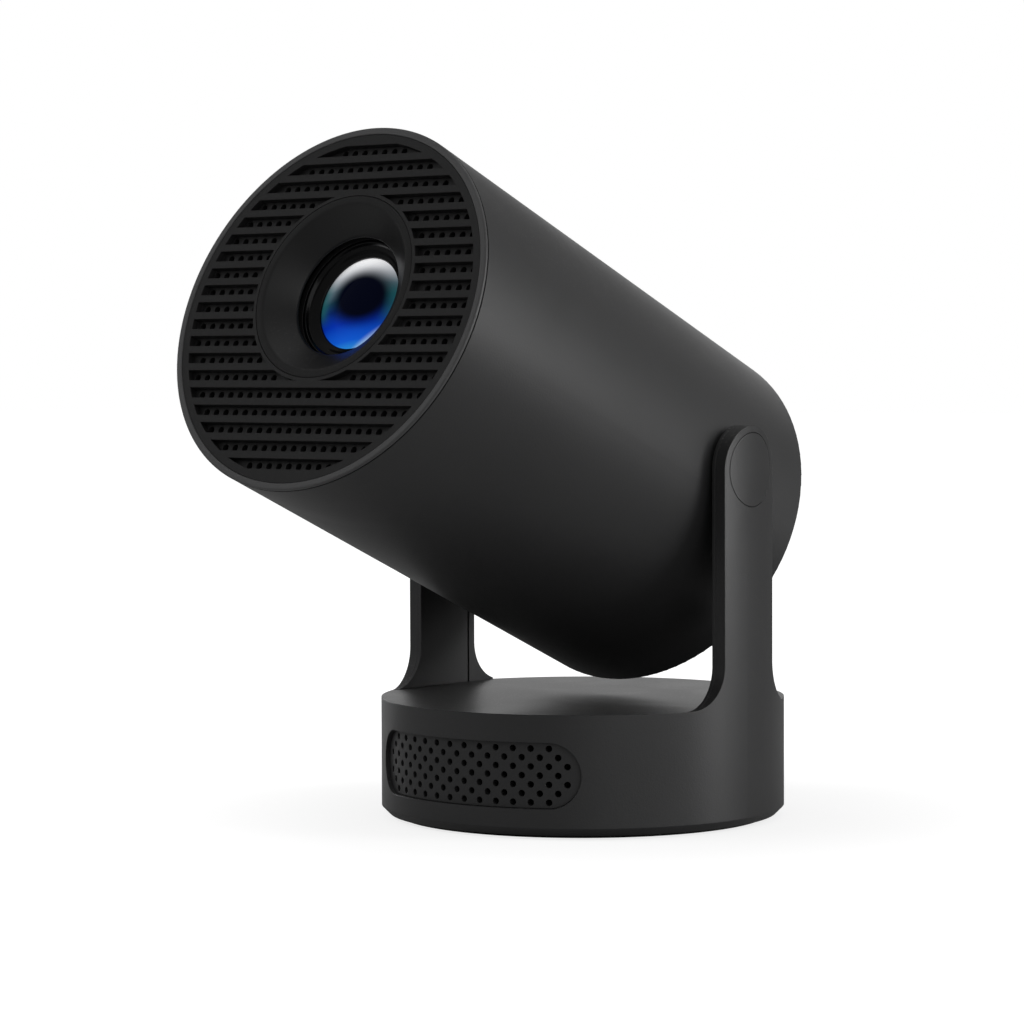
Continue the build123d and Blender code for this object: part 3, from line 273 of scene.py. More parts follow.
def metal(name, colour, roughness, turn_frame=None, marks=4000.0, depth=0.00002, metallic=1.0):
    """A machined or rolled metal with tone drift and fine tool marks."""
    material, tree, shader = new_material(name)
    where = place(tree, turn_frame)
    tool = add(tree, "ShaderNodeGroup", node_tree=MARKS)
    tool.inputs["Pitch"].default_value = marks
    tree.links.new(where, tool.inputs["Vector"])
    smears = add(tree, "ShaderNodeGroup", node_tree=SMEARS)
    smears.inputs["Size"].default_value = 120.0
    tree.links.new(where, smears.inputs["Vector"])
    tone = add(tree, "ShaderNodeMix", {
        0: smears.outputs["Smear"], 6: shaded(colour, 0.82), 7: shaded(colour, 1.1),
    }, data_type="RGBA")
    tree.links.new(tone.outputs[2], shader.inputs["Base Color"])
    rough = spread(tree, tool.outputs["Height"], roughness - 0.06, roughness + 0.08)
    tree.links.new(rough, shader.inputs["Roughness"])
    bump = add(tree, "ShaderNodeBump", {
        "Strength": 0.4, "Distance": depth, "Height": tool.outputs["Height"],
    })
    tree.links.new(bump.outputs[0], shader.inputs["Normal"])
    shader.inputs["Metallic"].default_value = metallic
    return material


def clear_glass(name, colour, roughness=0.02, transmission=1.0):
    """Optical glass, very slightly hazy in patches."""
    material, tree, shader = new_material(name)
    smears = add(tree, "ShaderNodeGroup", node_tree=SMEARS)
    smears.inputs["Size"].default_value = 60.0
    tree.links.new(place(tree), smears.inputs["Vector"])
    tone = add(tree, "ShaderNodeMix", {
        0: smears.outputs["Smear"], 6: shaded(colour, 0.96), 7: shaded(colour, 1.0),
    }, data_type="RGBA")
    tree.links.new(tone.outputs[2], shader.inputs["Base Color"])
    hazy = spread(tree, smears.outputs["Smear"], roughness, roughness + 0.03)
    tree.links.new(hazy, shader.inputs["Roughness"])
    shader.inputs["Transmission Weight"].default_value = transmission
    shader.inputs["IOR"].default_value = 1.52
    return material


COATING_EDGE = 12.7 * MM
# Painted reflection on the front lens, from low to high: coating blue, black, grey, then a painted white highlight
# at the top.
PAINTED_REFLECTION_STOPS = [
    (0.0, (0.03, 0.3, 0.75, 1)), (0.1, (0.006, 0.1, 0.62, 1)), (0.28, (0.002, 0.028, 0.36, 1)),
    (0.44, (0.004, 0.02, 0.12, 1)), (0.55, (0.012, 0.05, 0.08, 1)), (0.68, (0.1, 0.15, 0.18, 1)),
    (0.82, (0.42, 0.44, 0.47, 1)), (1.0, (0.95, 0.95, 0.96, 1)),
]
# Painted shade for the black middle of the front lens.
PAINTED_DARK_CENTRE_TINT = (0.0006, 0.0012, 0.006, 1)
# Painted teal reflection across the lens's waist near its rim.
PAINTED_TEAL_REFLECTION_TINT = (0.015, 0.11, 0.12, 1)
# Painted pale highlight at the lens's lower right corner.
PAINTED_CORNER_HIGHLIGHT_TINT = (0.6, 0.8, 0.95, 1)


def smooth_step(tree, value, start, end, top=1.0):
    """A value that eases from 0 at the start to the top at the end."""
    return add(tree, "ShaderNodeMapRange", {
        "Value": value, "From Min": start, "From Max": end, "To Max": top,
    }, interpolation_type="SMOOTHSTEP").outputs[0]


def blend(tree, share, first, second):
    """The first colour turning into the second as the share goes from 0 to 1."""
    return add(tree, "ShaderNodeMix", {0: share, 6: first, 7: second}, data_type="RGBA").outputs[2]


def coated_glass():
    """The front lens, in painted reflection and shade: a painted pale highlight in the upper part, painted black
    shade in its middle and its coating's blue as a painted reflection towards the lower rim.
    """
    material, tree, shader = new_material("coated_glass")
    where = place(tree, LENS_FRAME)
    parts = add(tree, "ShaderNodeSeparateXYZ", {0: where})
    height = add(tree, "ShaderNodeMapRange", {
        "Value": parts.outputs["Y"], "From Min": -COATING_EDGE, "From Max": COATING_EDGE,
    })
    side = add(tree, "ShaderNodeMapRange", {
        "Value": parts.outputs["X"], "From Min": -COATING_EDGE, "From Max": COATING_EDGE,
    })
    lean = maths(tree, "MULTIPLY_ADD", side.outputs[0], -0.16)
    tree.links.new(height.outputs[0], lean.node.inputs[2])
    ramp = add(tree, "ShaderNodeValToRGB", {"Fac": maths(tree, "ADD", lean, 0.1)})
    for position, colour in PAINTED_REFLECTION_STOPS[1:-1]:
        ramp.color_ramp.elements.new(position).color = colour
    ramp.color_ramp.elements[0].color = PAINTED_REFLECTION_STOPS[0][1]
    ramp.color_ramp.elements[-1].color = PAINTED_REFLECTION_STOPS[-1][1]
    flat = add(tree, "ShaderNodeCombineXYZ", {0: parts.outputs["X"], 1: parts.outputs["Y"]}).outputs[0]
    off_centre = add(tree, "ShaderNodeVectorMath", {0: flat, 1: (-0.0016, -0.0012, 0.0)}, operation="ADD")
    flattened = add(tree, "ShaderNodeVectorMath", {
        0: off_centre.outputs["Vector"], 1: (0.92, 1.18, 1.0),
    }, operation="MULTIPLY")
    from_painted_dark_centre = add(tree, "ShaderNodeVectorMath", {0: flattened.outputs[0]}, operation="LENGTH")
    # Painted shade: the lens turns black towards a point a little off its centre.
    painted_dark_share = smooth_step(tree, from_painted_dark_centre.outputs["Value"], 11.6 * MM, 5.8 * MM)
    dark = blend(tree, painted_dark_share, ramp.outputs["Color"], PAINTED_DARK_CENTRE_TINT)
    from_middle = add(tree, "ShaderNodeVectorMath", {0: flat}, operation="LENGTH")
    # Painted teal reflection near the rim at the waist, then a painted highlight at the lower right corner.
    rim = smooth_step(tree, from_middle.outputs["Value"], 8.5 * MM, COATING_EDGE, 0.75)
    waist = smooth_step(tree, maths(tree, "ABSOLUTE", parts.outputs["Y"]), 7.5 * MM, 2.0 * MM)
    teal = blend(tree, maths(tree, "MULTIPLY", rim, waist), dark, PAINTED_TEAL_REFLECTION_TINT)
    low_corner = add(tree, "ShaderNodeVectorMath", {0: flat, 1: (0.6, -0.8, 0.0)}, operation="DOT_PRODUCT")
    corner = smooth_step(tree, low_corner.outputs["Value"], 10.3 * MM, COATING_EDGE, 0.8)
    tint = blend(tree, corner, teal, PAINTED_CORNER_HIGHLIGHT_TINT)
    tree.links.new(tint, shader.inputs["Base Color"])
    # Painted light: the lens glows with its painted colours, though it is no lamp.
    tree.links.new(tint, shader.inputs["Emission Color"])
    shader.inputs["Emission Strength"].default_value = 0.42
    smears = add(tree, "ShaderNodeGroup", node_tree=SMEARS)
    tree.links.new(where, smears.inputs["Vector"])
    tree.links.new(spread(tree, smears.outputs["Smear"], 0.02, 0.06), shader.inputs["Roughness"])
    shader.inputs["Specular IOR Level"].default_value = 0.03
    shader.inputs["Coat Weight"].default_value = 0.02
    shader.inputs["Coat Roughness"].default_value = 0.02
    return material


def printed_board(name):
    """Green circuit board with tracks under its lacquer."""
    material, tree, shader = new_material(name)
    tracks = add(tree, "ShaderNodeTexBrick", {
        "Vector": place(tree), "Scale": 260.0, "Mortar Size": 0.08,
        "Color1": (0.010, 0.075, 0.035, 1), "Color2": (0.012, 0.09, 0.04, 1),
        "Mortar": (0.03, 0.15, 0.07, 1),
    })
    tree.links.new(tracks.outputs["Color"], shader.inputs["Base Color"])
    tree.links.new(spread(tree, tracks.outputs["Fac"], 0.25, 0.42), shader.inputs["Roughness"])
    bump = add(tree, "ShaderNodeBump", {
        "Strength": 0.5, "Distance": 0.00003, "Height": tracks.outputs["Fac"],
    })
    tree.links.new(bump.outputs[0], shader.inputs["Normal"])
    return material


def lit_resin(name, colour, strength, scale=900.0):
    """A translucent resin that glows faintly, such as a light pipe or an LED's phosphor."""
    material, tree, shader = new_material(name)
    cloud = add(tree, "ShaderNodeTexNoise", {"Vector": place(tree), "Scale": scale, "Detail": 2.0})
    tone = add(tree, "ShaderNodeMix", {
        0: cloud.outputs[0], 6: shaded(colour, 0.75), 7: shaded(colour, 1.1),
    }, data_type="RGBA")
    tree.links.new(tone.outputs[2], shader.inputs["Base Color"])
    tree.links.new(tone.outputs[2], shader.inputs["Emission Color"])
    tree.links.new(spread(tree, cloud.outputs[0], 0.2, 0.4), shader.inputs["Roughness"])
    shader.inputs["Emission Strength"].default_value = strength
    return material


CHARCOAL = (0.021, 0.021, 0.0215)
finishes = {
    "shell_charcoal": plastic("shell_charcoal", CHARCOAL, 0.40),
    "grille_charcoal": plastic("grille_charcoal", (0.009, 0.009, 0.0092), 0.52, softness=0.00012,
                               dust=0.1),
    "hood_satin": plastic("hood_satin", (0.0065, 0.0065, 0.0067), 0.42, grain=3400.0, depth=0.00002,
                          specular=0.4, dust=0.05),
    "underside_plastic": plastic("underside_plastic", (0.016, 0.016, 0.0165), 0.5, grain=1800.0,
                                 depth=0.00006),
    "foot_rubber": plastic("foot_rubber", (0.008, 0.008, 0.008), 0.72, grain=1500.0, depth=0.00005,
                           specular=0.3),
    "button_gloss": plastic("button_gloss", (0.010, 0.010, 0.011), 0.2, depth=0.000008, coat=0.6),
    "retainer_gloss": plastic("retainer_gloss", (0.002, 0.002, 0.0022), 0.16, depth=0.000005, specular=0.18,
                              coat=0.06, dust=0.0),
    "inner_black": plastic("inner_black", (0.006, 0.006, 0.0062), 0.6, grain=1700.0, depth=0.00005,
                           dust=0.1),
    "coated_glass": coated_glass(),
    "clear_glass": clear_glass("clear_glass", (0.9, 0.95, 0.96)),
    "panel_glass": clear_glass("panel_glass", (0.16, 0.19, 0.22), 0.06, 0.6),
    "window_tint": plastic("window_tint", (0.02, 0.004, 0.005), 0.1, depth=0.000003, coat=1.0, dust=0.0),
    "light_pipe": lit_resin("light_pipe", (0.55, 0.75, 0.9), 0.6),
    "steel": metal("steel", (0.46, 0.46, 0.47), 0.32),
    "socket_shell": metal("socket_shell", (0.62, 0.61, 0.58), 0.24, marks=2500.0),
    "brass": metal("brass", (0.72, 0.5, 0.2), 0.28),
    "bush_plastic": plastic("bush_plastic", (0.6, 0.6, 0.56), 0.45, dust=0.0),
    "aluminium": metal("aluminium", (0.7, 0.71, 0.72), 0.36, marks=1600.0),
    "board": printed_board("board"),
    "led_phosphor": lit_resin("led_phosphor", (0.8, 0.65, 0.12), 0.2),
    "ribbon": plastic("ribbon", (0.62, 0.62, 0.58), 0.4, grain=900.0, dust=0.0),
    "cone": plastic("cone", (0.02, 0.02, 0.02), 0.85, grain=700.0, depth=0.00015, specular=0.2),
}
# A lighter copy of the shell's charcoal for the front ring: painted light for the light its bevelled lip catches.
lip_charcoal_painted_light = plastic("lip_charcoal_painted_light", (0.05, 0.05, 0.0508), 0.42)
speaker_charcoal = plastic("speaker_charcoal", (0.019, 0.019, 0.0195), 0.46, softness=0.00012, dust=0.1)
slot_of = {part["node"]: part["material_slot"] for part in frame["record"]["subparts"]}
for node_name, node_object in nodes.items():
    node_object.data.materials.clear()
    node_object.data.materials.append(finishes[slot_of[node_name]])
nodes["speaker_grille"].data.materials[0] = speaker_charcoal


# ======================================================================
# Pieces modelled afresh
# ======================================================================
def settle(name, mesh, body, stands_for=(), slot=None, sharp=0.6):
    """Makes a finished mesh a piece that rides on a body and shows in place of the nodes named."""
    for face in mesh.polygons:
        face.use_smooth = True
    mesh.set_sharp_from_angle(angle=sharp)
    piece = bpy.data.objects.new(name, mesh)
    bpy.context.scene.collection.objects.link(piece)
    slot = slot or slot_of[stands_for[0]]
    if not mesh.materials:
        mesh.materials.append(finishes[slot])
    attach(piece, body)
    if stands_for:
        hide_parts(*stands_for)
    return piece


def turned_mesh(name, profile, turn_frame, steps=128):
    """A closed (station, radius) profile, in metres, turned about an axis."""
    shape = bmesh.new()
    rings = []
    for station, radius in profile:
        if radius <= 1e-9:
            rings.append([shape.verts.new((0, 0, station))])
            continue
        turn = [2 * math.pi * step / steps for step in range(steps)]
        rings.append([shape.verts.new((radius * math.cos(a), radius * math.sin(a), station)) for a in turn])
    for ring, following in zip(rings, rings[1:] + rings[:1]):
        if len(ring) == 1 and len(following) == 1:
            continue
        for step in range(steps):
            corners = [ring[step % len(ring)], ring[(step + 1) % len(ring)],
                       following[(step + 1) % len(following)], following[step % len(following)]]
            corners = list(dict.fromkeys(corners))
            shape.faces.new(corners)
    bmesh.ops.recalc_face_normals(shape, faces=shape.faces)
    shape.transform(turn_frame)
    mesh = bpy.data.meshes.new(name)
    shape.to_mesh(mesh)
    shape.free()
    return mesh


def rounded(corner, before, after, radius, steps=4):
    """Points that round one corner of a profile between its neighbours."""
    corner, before, after = Vector(corner), Vector(before), Vector(after)
    start = corner + (before - corner).normalized() * radius
    end = corner + (after - corner).normalized() * radius
    points = []
    for step in range(steps + 1):
        t = step / steps
        points.append(tuple(start * (1 - t) ** 2 + corner * 2 * t * (1 - t) + end * t**2))
    return points


def softened(profile, radii):
    """A closed profile with each corner rounded by its own radius."""
    points = []
    for i, (corner, radius) in enumerate(zip(profile, radii)):
        if radius:
            points += rounded(corner, profile[i - 1], profile[(i + 1) % len(profile)], radius)
        else:
            points.append(corner)
    return points


# ---- front ring: a light chamfered lip on a sleeve ----
ring_back, ring_front, ring_bore, ring_outer = reach("front_ring", BARREL_FRAME)
lip = 0.9 * MM
sleeve = ring_bore + 0.6 * MM
ring_profile = [
    (ring_back, ring_bore), (ring_back, sleeve), (ring_front - lip, sleeve), (ring_front - lip, ring_outer),
    (ring_front - 0.25 * MM, ring_outer), (ring_front, ring_outer - 0.35 * MM), (ring_front, ring_bore),
]
ring_rounding = [0, 0, 0, 0.25 * MM, 0.15 * MM, 0.15 * MM, 0.25 * MM]
ring_mesh = turned_mesh("front_ring_lip", softened(ring_profile, ring_rounding), BARREL_FRAME, 192)
# The lip takes the painted-lighter charcoal.
ring_mesh.materials.append(lip_charcoal_painted_light)
settle("front_ring_lip", ring_mesh, "barrel", ["front_ring"])

# ---- lens hood: a smooth funnel with a rolled rim ----
hood_back, hood_front, hood_throat, hood_flange = reach("lens_hood", LENS_FRAME)
hood_rim = hood_flange - 2.7 * MM
hood_mouth = hood_rim - 2.0 * MM
flange_front = ring_back
hood_profile = [
    (hood_back, hood_throat), (hood_front - 6.0 * MM, hood_throat), (hood_front, hood_mouth),
    (hood_front, hood_rim), (flange_front, hood_rim), (flange_front, hood_flange), (hood_back, hood_flange),
]
hood_rounding = [0.3 * MM, 0.6 * MM, 0.5 * MM, 0.15 * MM, 0.1 * MM, 0.2 * MM, 0.2 * MM]
settle("lens_funnel", turned_mesh("lens_funnel", softened(hood_profile, hood_rounding), LENS_FRAME, 160),
       "barrel", ["lens_hood"])

# ---- retaining ring: polished, with a spanner land and a stepped bevel ----
keep_back, keep_front, keep_bore, keep_outer = reach("lens_retainer", LENS_FRAME)
keep_depth = keep_front - keep_back
keep_profile = [
    (keep_back, keep_bore), (keep_back, keep_outer), (keep_front, keep_outer),
    (keep_front, keep_outer - 0.8 * MM), (keep_back + 0.62 * keep_depth, keep_outer - 1.3 * MM),
    (keep_back + 0.55 * keep_depth, keep_outer - 2.2 * MM),
    (keep_back + 0.36 * keep_depth, keep_bore + 1.2 * MM),
    (keep_back + 0.2 * keep_depth, keep_bore + 0.2 * MM),
]
keep_rounding = [0.1 * MM, 0, 0.1 * MM, 0.2 * MM, 0.15 * MM, 0.15 * MM, 0.15 * MM, 0.1 * MM]
settle("bezel_ring", turned_mesh("bezel_ring", softened(keep_profile, keep_rounding), LENS_FRAME),
       "lens", ["lens_retainer"])

# ---- front lens: a domed glass with a ground edge ----
glass_back, glass_apex, _, glass_flange = reach("front_lens", LENS_FRAME)
glass_radius = keep_bore + 0.6 * MM
glass_sag = 3.0 * MM
glass_seat = glass_apex - glass_sag
dome_curve = (glass_radius**2 + glass_sag**2) / (2 * glass_sag)
dome_steps = 28
dome = []
for step in range(dome_steps + 1):
    r = glass_radius * (1 - step / dome_steps)
    dome.append((glass_apex - dome_curve + math.sqrt(dome_curve**2 - r * r), r))
glass_profile = [(glass_back, 0), (glass_back, glass_flange), (glass_seat - 0.5 * MM, glass_flange),
                 (glass_seat - 0.3 * MM, glass_radius)] + dome
settle("front_glass", turned_mesh("front_glass", glass_profile, LENS_FRAME, 96), "lens", ["front_lens"])

# ---- power button: dished, with a fine groove round it ----
key_back, key_front, _, key_flange = reach("power_button", BUTTON_FRAME)
key_radius = 3.3 * MM
flange_back = key_front - 0.8 * MM
dish_depth = 0.28 * MM
dish_steps = 8
dish = []
for step in range(dish_steps + 1):
    drop = dish_depth * math.cos(math.pi / 2 * step / dish_steps) ** 2
    dish.append((key_back + drop, key_radius * 0.72 * step / dish_steps))
key_profile = dish + [
    (key_back + 0.15 * MM, key_radius * 0.78), (key_back, key_radius * 0.84),
    (key_back, key_radius - 0.4 * MM), (key_back + 0.12 * MM, key_radius - 0.12 * MM),
    (key_back + 0.4 * MM, key_radius), (flange_back, key_radius), (flange_back, key_flange),
    (key_front, key_flange), (key_front, 0),
]
settle("power_key", turned_mesh("power_key", key_profile, BUTTON_FRAME, 64),
       "power_button", ["power_button"])

# ---- tripod nut: a flanged brass insert with a cut thread ----
nut_low, nut_high, _, nut_flange = reach("tripod_nut", STAND_FRAME)
thread_radius = 3.175 * MM
nut_body = 5.5 * MM
nut_lead = 0.4 * MM
nut_crown = 1.0 * MM
thread_turns = 9
thread_pitch = (nut_high - nut_low - nut_lead - nut_crown) / thread_turns
thread = []
for turn in range(thread_turns):
    z = nut_low + nut_lead + turn * thread_pitch
    thread += [(z, thread_radius), (z + thread_pitch / 2, thread_radius - 0.45 * MM)]
plate_top = 3.4 * MM
flange_top = plate_top + 1.0 * MM
nut_profile = [(nut_low, thread_radius + 0.3 * MM)] + thread + [
    (nut_high - nut_crown, thread_radius), (nut_high - nut_crown, 0), (nut_high, 0), (nut_high, nut_body),
    (flange_top, nut_body), (flange_top, nut_flange), (plate_top, nut_flange), (plate_top, nut_body),
    (nut_low, nut_body),
]
settle("tripod_insert", turned_mesh("tripod_insert", nut_profile, STAND_FRAME, 48),
       "stand", ["tripod_nut"], sharp=0.4)


# ---- fan rotor: seven swept blades on a capped hub ----
BLADES = 7
BLADE_STEPS = 7
CHORD_STEPS = 6
HUB = 11.0 * MM


def blade_skin(shape, turn, skin, back, front, tip):
    """Rows of points over one face of a blade, from its root in the hub out to its tip."""
    root = HUB - 0.4 * MM
    rows = []
    for step in range(BLADE_STEPS + 1):
        s = step / BLADE_STEPS
        radius = root + (tip - 0.1 * MM - root) * s
        row = []
        for across in range(CHORD_STEPS + 1):
            c = across / CHORD_STEPS - 0.5
            sweep = turn + 0.34 * s + c * (0.62 - 0.1 * s)
            thick = 0.5 * MM * (1 - (2 * c) ** 4) * (1.15 - 0.5 * s) + 0.06 * MM
            z = (back + front) / 2 + c * (front - back - 1.2 * MM) * 0.9
            z += 0.5 * MM * math.cos(math.pi * c) + skin * thick
            row.append(shape.verts.new((radius * math.cos(sweep), radius * math.sin(sweep), z)))
        rows.append(row)
    return rows


def close_blade(shape, upper, lower):
    """Faces over both skins of a blade and round its four edges."""
    for rows in (upper, lower):
        for near, far in zip(rows, rows[1:]):
            for i in range(CHORD_STEPS):
                shape.faces.new((near[i], near[i + 1], far[i + 1], far[i]))
    for i in range(CHORD_STEPS):
        shape.faces.new((upper[0][i], lower[0][i], lower[0][i + 1], upper[0][i + 1]))
        shape.faces.new((upper[-1][i], upper[-1][i + 1], lower[-1][i + 1], lower[-1][i]))
    for step in range(BLADE_STEPS):
        shape.faces.new((upper[step][0], upper[step + 1][0], lower[step + 1][0], lower[step][0]))
        shape.faces.new((upper[step][-1], lower[step][-1], lower[step + 1][-1], upper[step + 1][-1]))


def fan_rotor_mesh():
    back, front, _, tip = reach("fan_rotor", FAN_FRAME)
    cup_floor = front - 0.8 * MM
    hub_profile = [
        (back, 0), (back, HUB - 0.8 * MM), (back + 0.8 * MM, HUB), (front, HUB), (front, HUB - 1.0 * MM),
        (cup_floor, HUB - 1.2 * MM), (cup_floor, 0),
    ]
    shape = bmesh.new()
    shape.from_mesh(turned_mesh("fan_hub", hub_profile, Matrix.Identity(4), 56))
    for blade in range(BLADES):
        turn = 2 * math.pi * blade / BLADES
        upper = blade_skin(shape, turn, 1, back, front, tip)
        lower = blade_skin(shape, turn, -1, back, front, tip)
        close_blade(shape, upper, lower)
    bmesh.ops.recalc_face_normals(shape, faces=shape.faces)
    shape.transform(FAN_FRAME)
    mesh = bpy.data.meshes.new("fan_blades")
    shape.to_mesh(mesh)
    shape.free()
    return mesh


settle("fan_blades", fan_rotor_mesh(), "fan_rotor", ["fan_rotor"])


# ======================================================================
# Repeated pieces, grown by Geometry Nodes
# ======================================================================
def grower(name, inputs):
    """A geometry tree with named inputs after its incoming geometry."""
    tree = bpy.data.node_groups.new(name, "GeometryNodeTree")
    tree.interface.new_socket("Geometry", in_out="INPUT", socket_type="NodeSocketGeometry")
    for label, kind in inputs:
        tree.interface.new_socket(label, in_out="INPUT", socket_type=kind)
    tree.interface.new_socket("Geometry", in_out="OUTPUT", socket_type="NodeSocketGeometry")
    return tree, tree.nodes.new("NodeGroupInput"), tree.nodes.new("NodeGroupOutput")


def moved(tree, geometry, shift):
    return add(tree, "GeometryNodeTransform", {"Geometry": geometry, "Translation": shift}).outputs[0]


def vector(tree, x=0.0, y=0.0, z=0.0):
    return add(tree, "ShaderNodeCombineXYZ", {0: x, 1: y, 2: z}).outputs[0]


def joined(tree, *pieces):
    join = tree.nodes.new("GeometryNodeJoinGeometry")
    for piece in reversed(pieces):
        tree.links.new(piece, join.inputs[0])
    return join.outputs[0]


def screw_grower():
    """Pan-head screws with a crossed recess and a ridged shank, one at each incoming point."""
    tree, given, out = grower("cross_head_screws", [
        ("Head Radius", "NodeSocketFloat"), ("Head Height", "NodeSocketFloat"),
        ("Shank Radius", "NodeSocketFloat"), ("Shank Length", "NodeSocketFloat"),
        ("Thread Pitch", "NodeSocketFloat"), ("Direction", "NodeSocketVector"),
        ("Finish", "NodeSocketMaterial"),
    ])
    head_radius, head_height = given.outputs["Head Radius"], given.outputs["Head Height"]
    shank_radius, shank_length = given.outputs["Shank Radius"], given.outputs["Shank Length"]
    pitch = given.outputs["Thread Pitch"]
    low = maths(tree, "MULTIPLY", head_height, 0.45)
    crown = add(tree, "GeometryNodeMeshCone", {
        "Vertices": 28, "Radius Top": head_radius,
        "Radius Bottom": maths(tree, "MULTIPLY", head_radius, 0.74), "Depth": low,
    })
    drum_depth = maths(tree, "SUBTRACT", head_height, low)
    drum = add(tree, "GeometryNodeMeshCylinder", {
        "Vertices": 28, "Radius": head_radius, "Depth": drum_depth,
    })
    drum_shift = vector(tree, 0.0, 0.0, maths(tree, "ADD", low, maths(tree, "MULTIPLY", drum_depth, 0.5)))
    head = joined(tree, crown.outputs[0], moved(tree, drum.outputs[0], drum_shift))
    merged = add(tree, "GeometryNodeMergeByDistance", {"Geometry": head, "Distance": 0.000001}).outputs[0]
    long_side = maths(tree, "MULTIPLY", head_radius, 1.15)
    short_side = maths(tree, "MULTIPLY", head_radius, 0.26)
    cutters = []
    for first, second in ((long_side, short_side), (short_side, long_side)):
        bar = add(tree, "GeometryNodeMeshCube", {"Size": vector(tree, first, second, head_height)})
        cutters.append(bar.outputs[0])
    cut = add(tree, "GeometryNodeMeshBoolean", {0: merged}, operation="DIFFERENCE")
    for cutter in cutters:
        tree.links.new(cutter, cut.inputs[1])
    shank = add(tree, "GeometryNodeMeshCylinder", {
        "Vertices": 16, "Radius": maths(tree, "MULTIPLY", shank_radius, 0.78), "Depth": shank_length,
    })
    shank_middle = maths(tree, "ADD", head_height, maths(tree, "MULTIPLY", shank_length, 0.5))
    count = maths(tree, "DIVIDE", shank_length, pitch)
    line = add(tree, "GeometryNodeMeshLine", {
        "Count": maths(tree, "FLOOR", maths(tree, "SUBTRACT", count, 1.0)),
        "Start Location": vector(tree, 0.0, 0.0, maths(tree, "ADD", head_height, pitch)),
        "Offset": vector(tree, 0.0, 0.0, pitch),
    })
    ridge = add(tree, "GeometryNodeMeshCone", {
        "Vertices": 16, "Radius Top": maths(tree, "MULTIPLY", shank_radius, 0.76),
        "Radius Bottom": shank_radius, "Depth": maths(tree, "MULTIPLY", pitch, 0.5),
    })
    thread = add(tree, "GeometryNodeInstanceOnPoints", {
        "Points": line.outputs[0], "Instance": ridge.outputs[0],
    })
    shank_in_place = moved(tree, shank.outputs[0], vector(tree, 0.0, 0.0, shank_middle))
    screw = joined(tree, cut.outputs[0], shank_in_place, thread.outputs[0])
    turn = add(tree, "FunctionNodeAlignRotationToVector", {"Vector": given.outputs["Direction"]}, axis="Z")
    placed = add(tree, "GeometryNodeInstanceOnPoints", {
        "Points": given.outputs["Geometry"], "Instance": screw, "Rotation": turn.outputs[0],
    })
    real = add(tree, "GeometryNodeRealizeInstances", {"Geometry": placed.outputs[0]})
    finish = add(tree, "GeometryNodeSetMaterial", {
        "Geometry": real.outputs[0], "Material": given.outputs["Finish"],
    })
    tree.links.new(finish.outputs[0], out.inputs[0])
    return tree


def rib_grower():
    """Short blocks set round a circle, such as the tread of a rubber foot."""
    tree, given, out = grower("ribs_round_a_circle", [
        ("Count", "NodeSocketInt"), ("Radius", "NodeSocketFloat"), ("Size", "NodeSocketVector"),
        ("Height", "NodeSocketFloat"), ("Finish", "NodeSocketMaterial"),
    ])
    circle = add(tree, "GeometryNodeMeshCircle", {
        "Vertices": given.outputs["Count"], "Radius": given.outputs["Radius"],
    })
    block = add(tree, "GeometryNodeMeshCube", {
        "Size": given.outputs["Size"], "Vertices X": 3, "Vertices Y": 2, "Vertices Z": 2,
    })
    outward = add(tree, "FunctionNodeAlignRotationToVector", {
        "Vector": add(tree, "GeometryNodeInputPosition").outputs[0],
    }, axis="X")
    ribs = add(tree, "GeometryNodeInstanceOnPoints", {
        "Points": circle.outputs[0], "Instance": block.outputs[0], "Rotation": outward.outputs[0],
    })
    raised = moved(tree, ribs.outputs[0], vector(tree, 0.0, 0.0, given.outputs["Height"]))
    whole = joined(tree, given.outputs["Geometry"], raised)
    real = add(tree, "GeometryNodeRealizeInstances", {"Geometry": whole})
    finish = add(tree, "GeometryNodeSetMaterial", {
        "Geometry": real.outputs[0], "Material": given.outputs["Finish"],
    })
    tree.links.new(finish.outputs[0], out.inputs[0])
    return tree


def grown(name, start_mesh, tree, values):
    """Runs a geometry tree on a mesh and returns the plain mesh that it makes."""
    holder = bpy.data.objects.new(name + "_start", start_mesh)
    bpy.context.scene.collection.objects.link(holder)
    modifier = holder.modifiers.new("grow", "NODES")
    modifier.node_group = tree
    for item in tree.interface.items_tree:
        if item.in_out == "INPUT" and item.name in values:
            modifier[item.identifier] = values[item.name]
    bpy.context.view_layer.update()
    evaluated = holder.evaluated_get(bpy.context.evaluated_depsgraph_get())
    mesh = bpy.data.meshes.new_from_object(evaluated)
    mesh.name = name
    holder.modifiers.remove(modifier)
    bpy.data.objects.remove(holder)
    return mesh


def point_mesh(name, places):
    mesh = bpy.data.meshes.new(name)
    mesh.from_pydata([tuple(p) for p in places], [], [])
    return mesh


SCREWS = screw_grower()
RIBS = rib_grower()
HEAD_HEIGHT = 1.4 * MM


def screw_set(name, places, direction, body, node, length):
    """Screws of one length, heads at the places given, that stand for a node of plain ones."""
    values = {
        "Head Radius": 2.4 * MM, "Head Height": HEAD_HEIGHT, "Shank Radius": 1.1 * MM,
        "Shank Length": length - HEAD_HEIGHT, "Thread Pitch": 0.6 * MM, "Direction": tuple(direction),
        "Finish": finishes["steel"],
    }
    mesh = grown(name, point_mesh(name + "_places", places), SCREWS, values)
    settle(name, mesh, body, [node], sharp=0.5)


def four_corners(radius):
    """Offsets to four points on a circle, halfway between its two axes."""
    turns = [math.radians(angle) for angle in (45, 135, 225, 315)]
    return [(radius * math.cos(turn), radius * math.sin(turn)) for turn in turns]


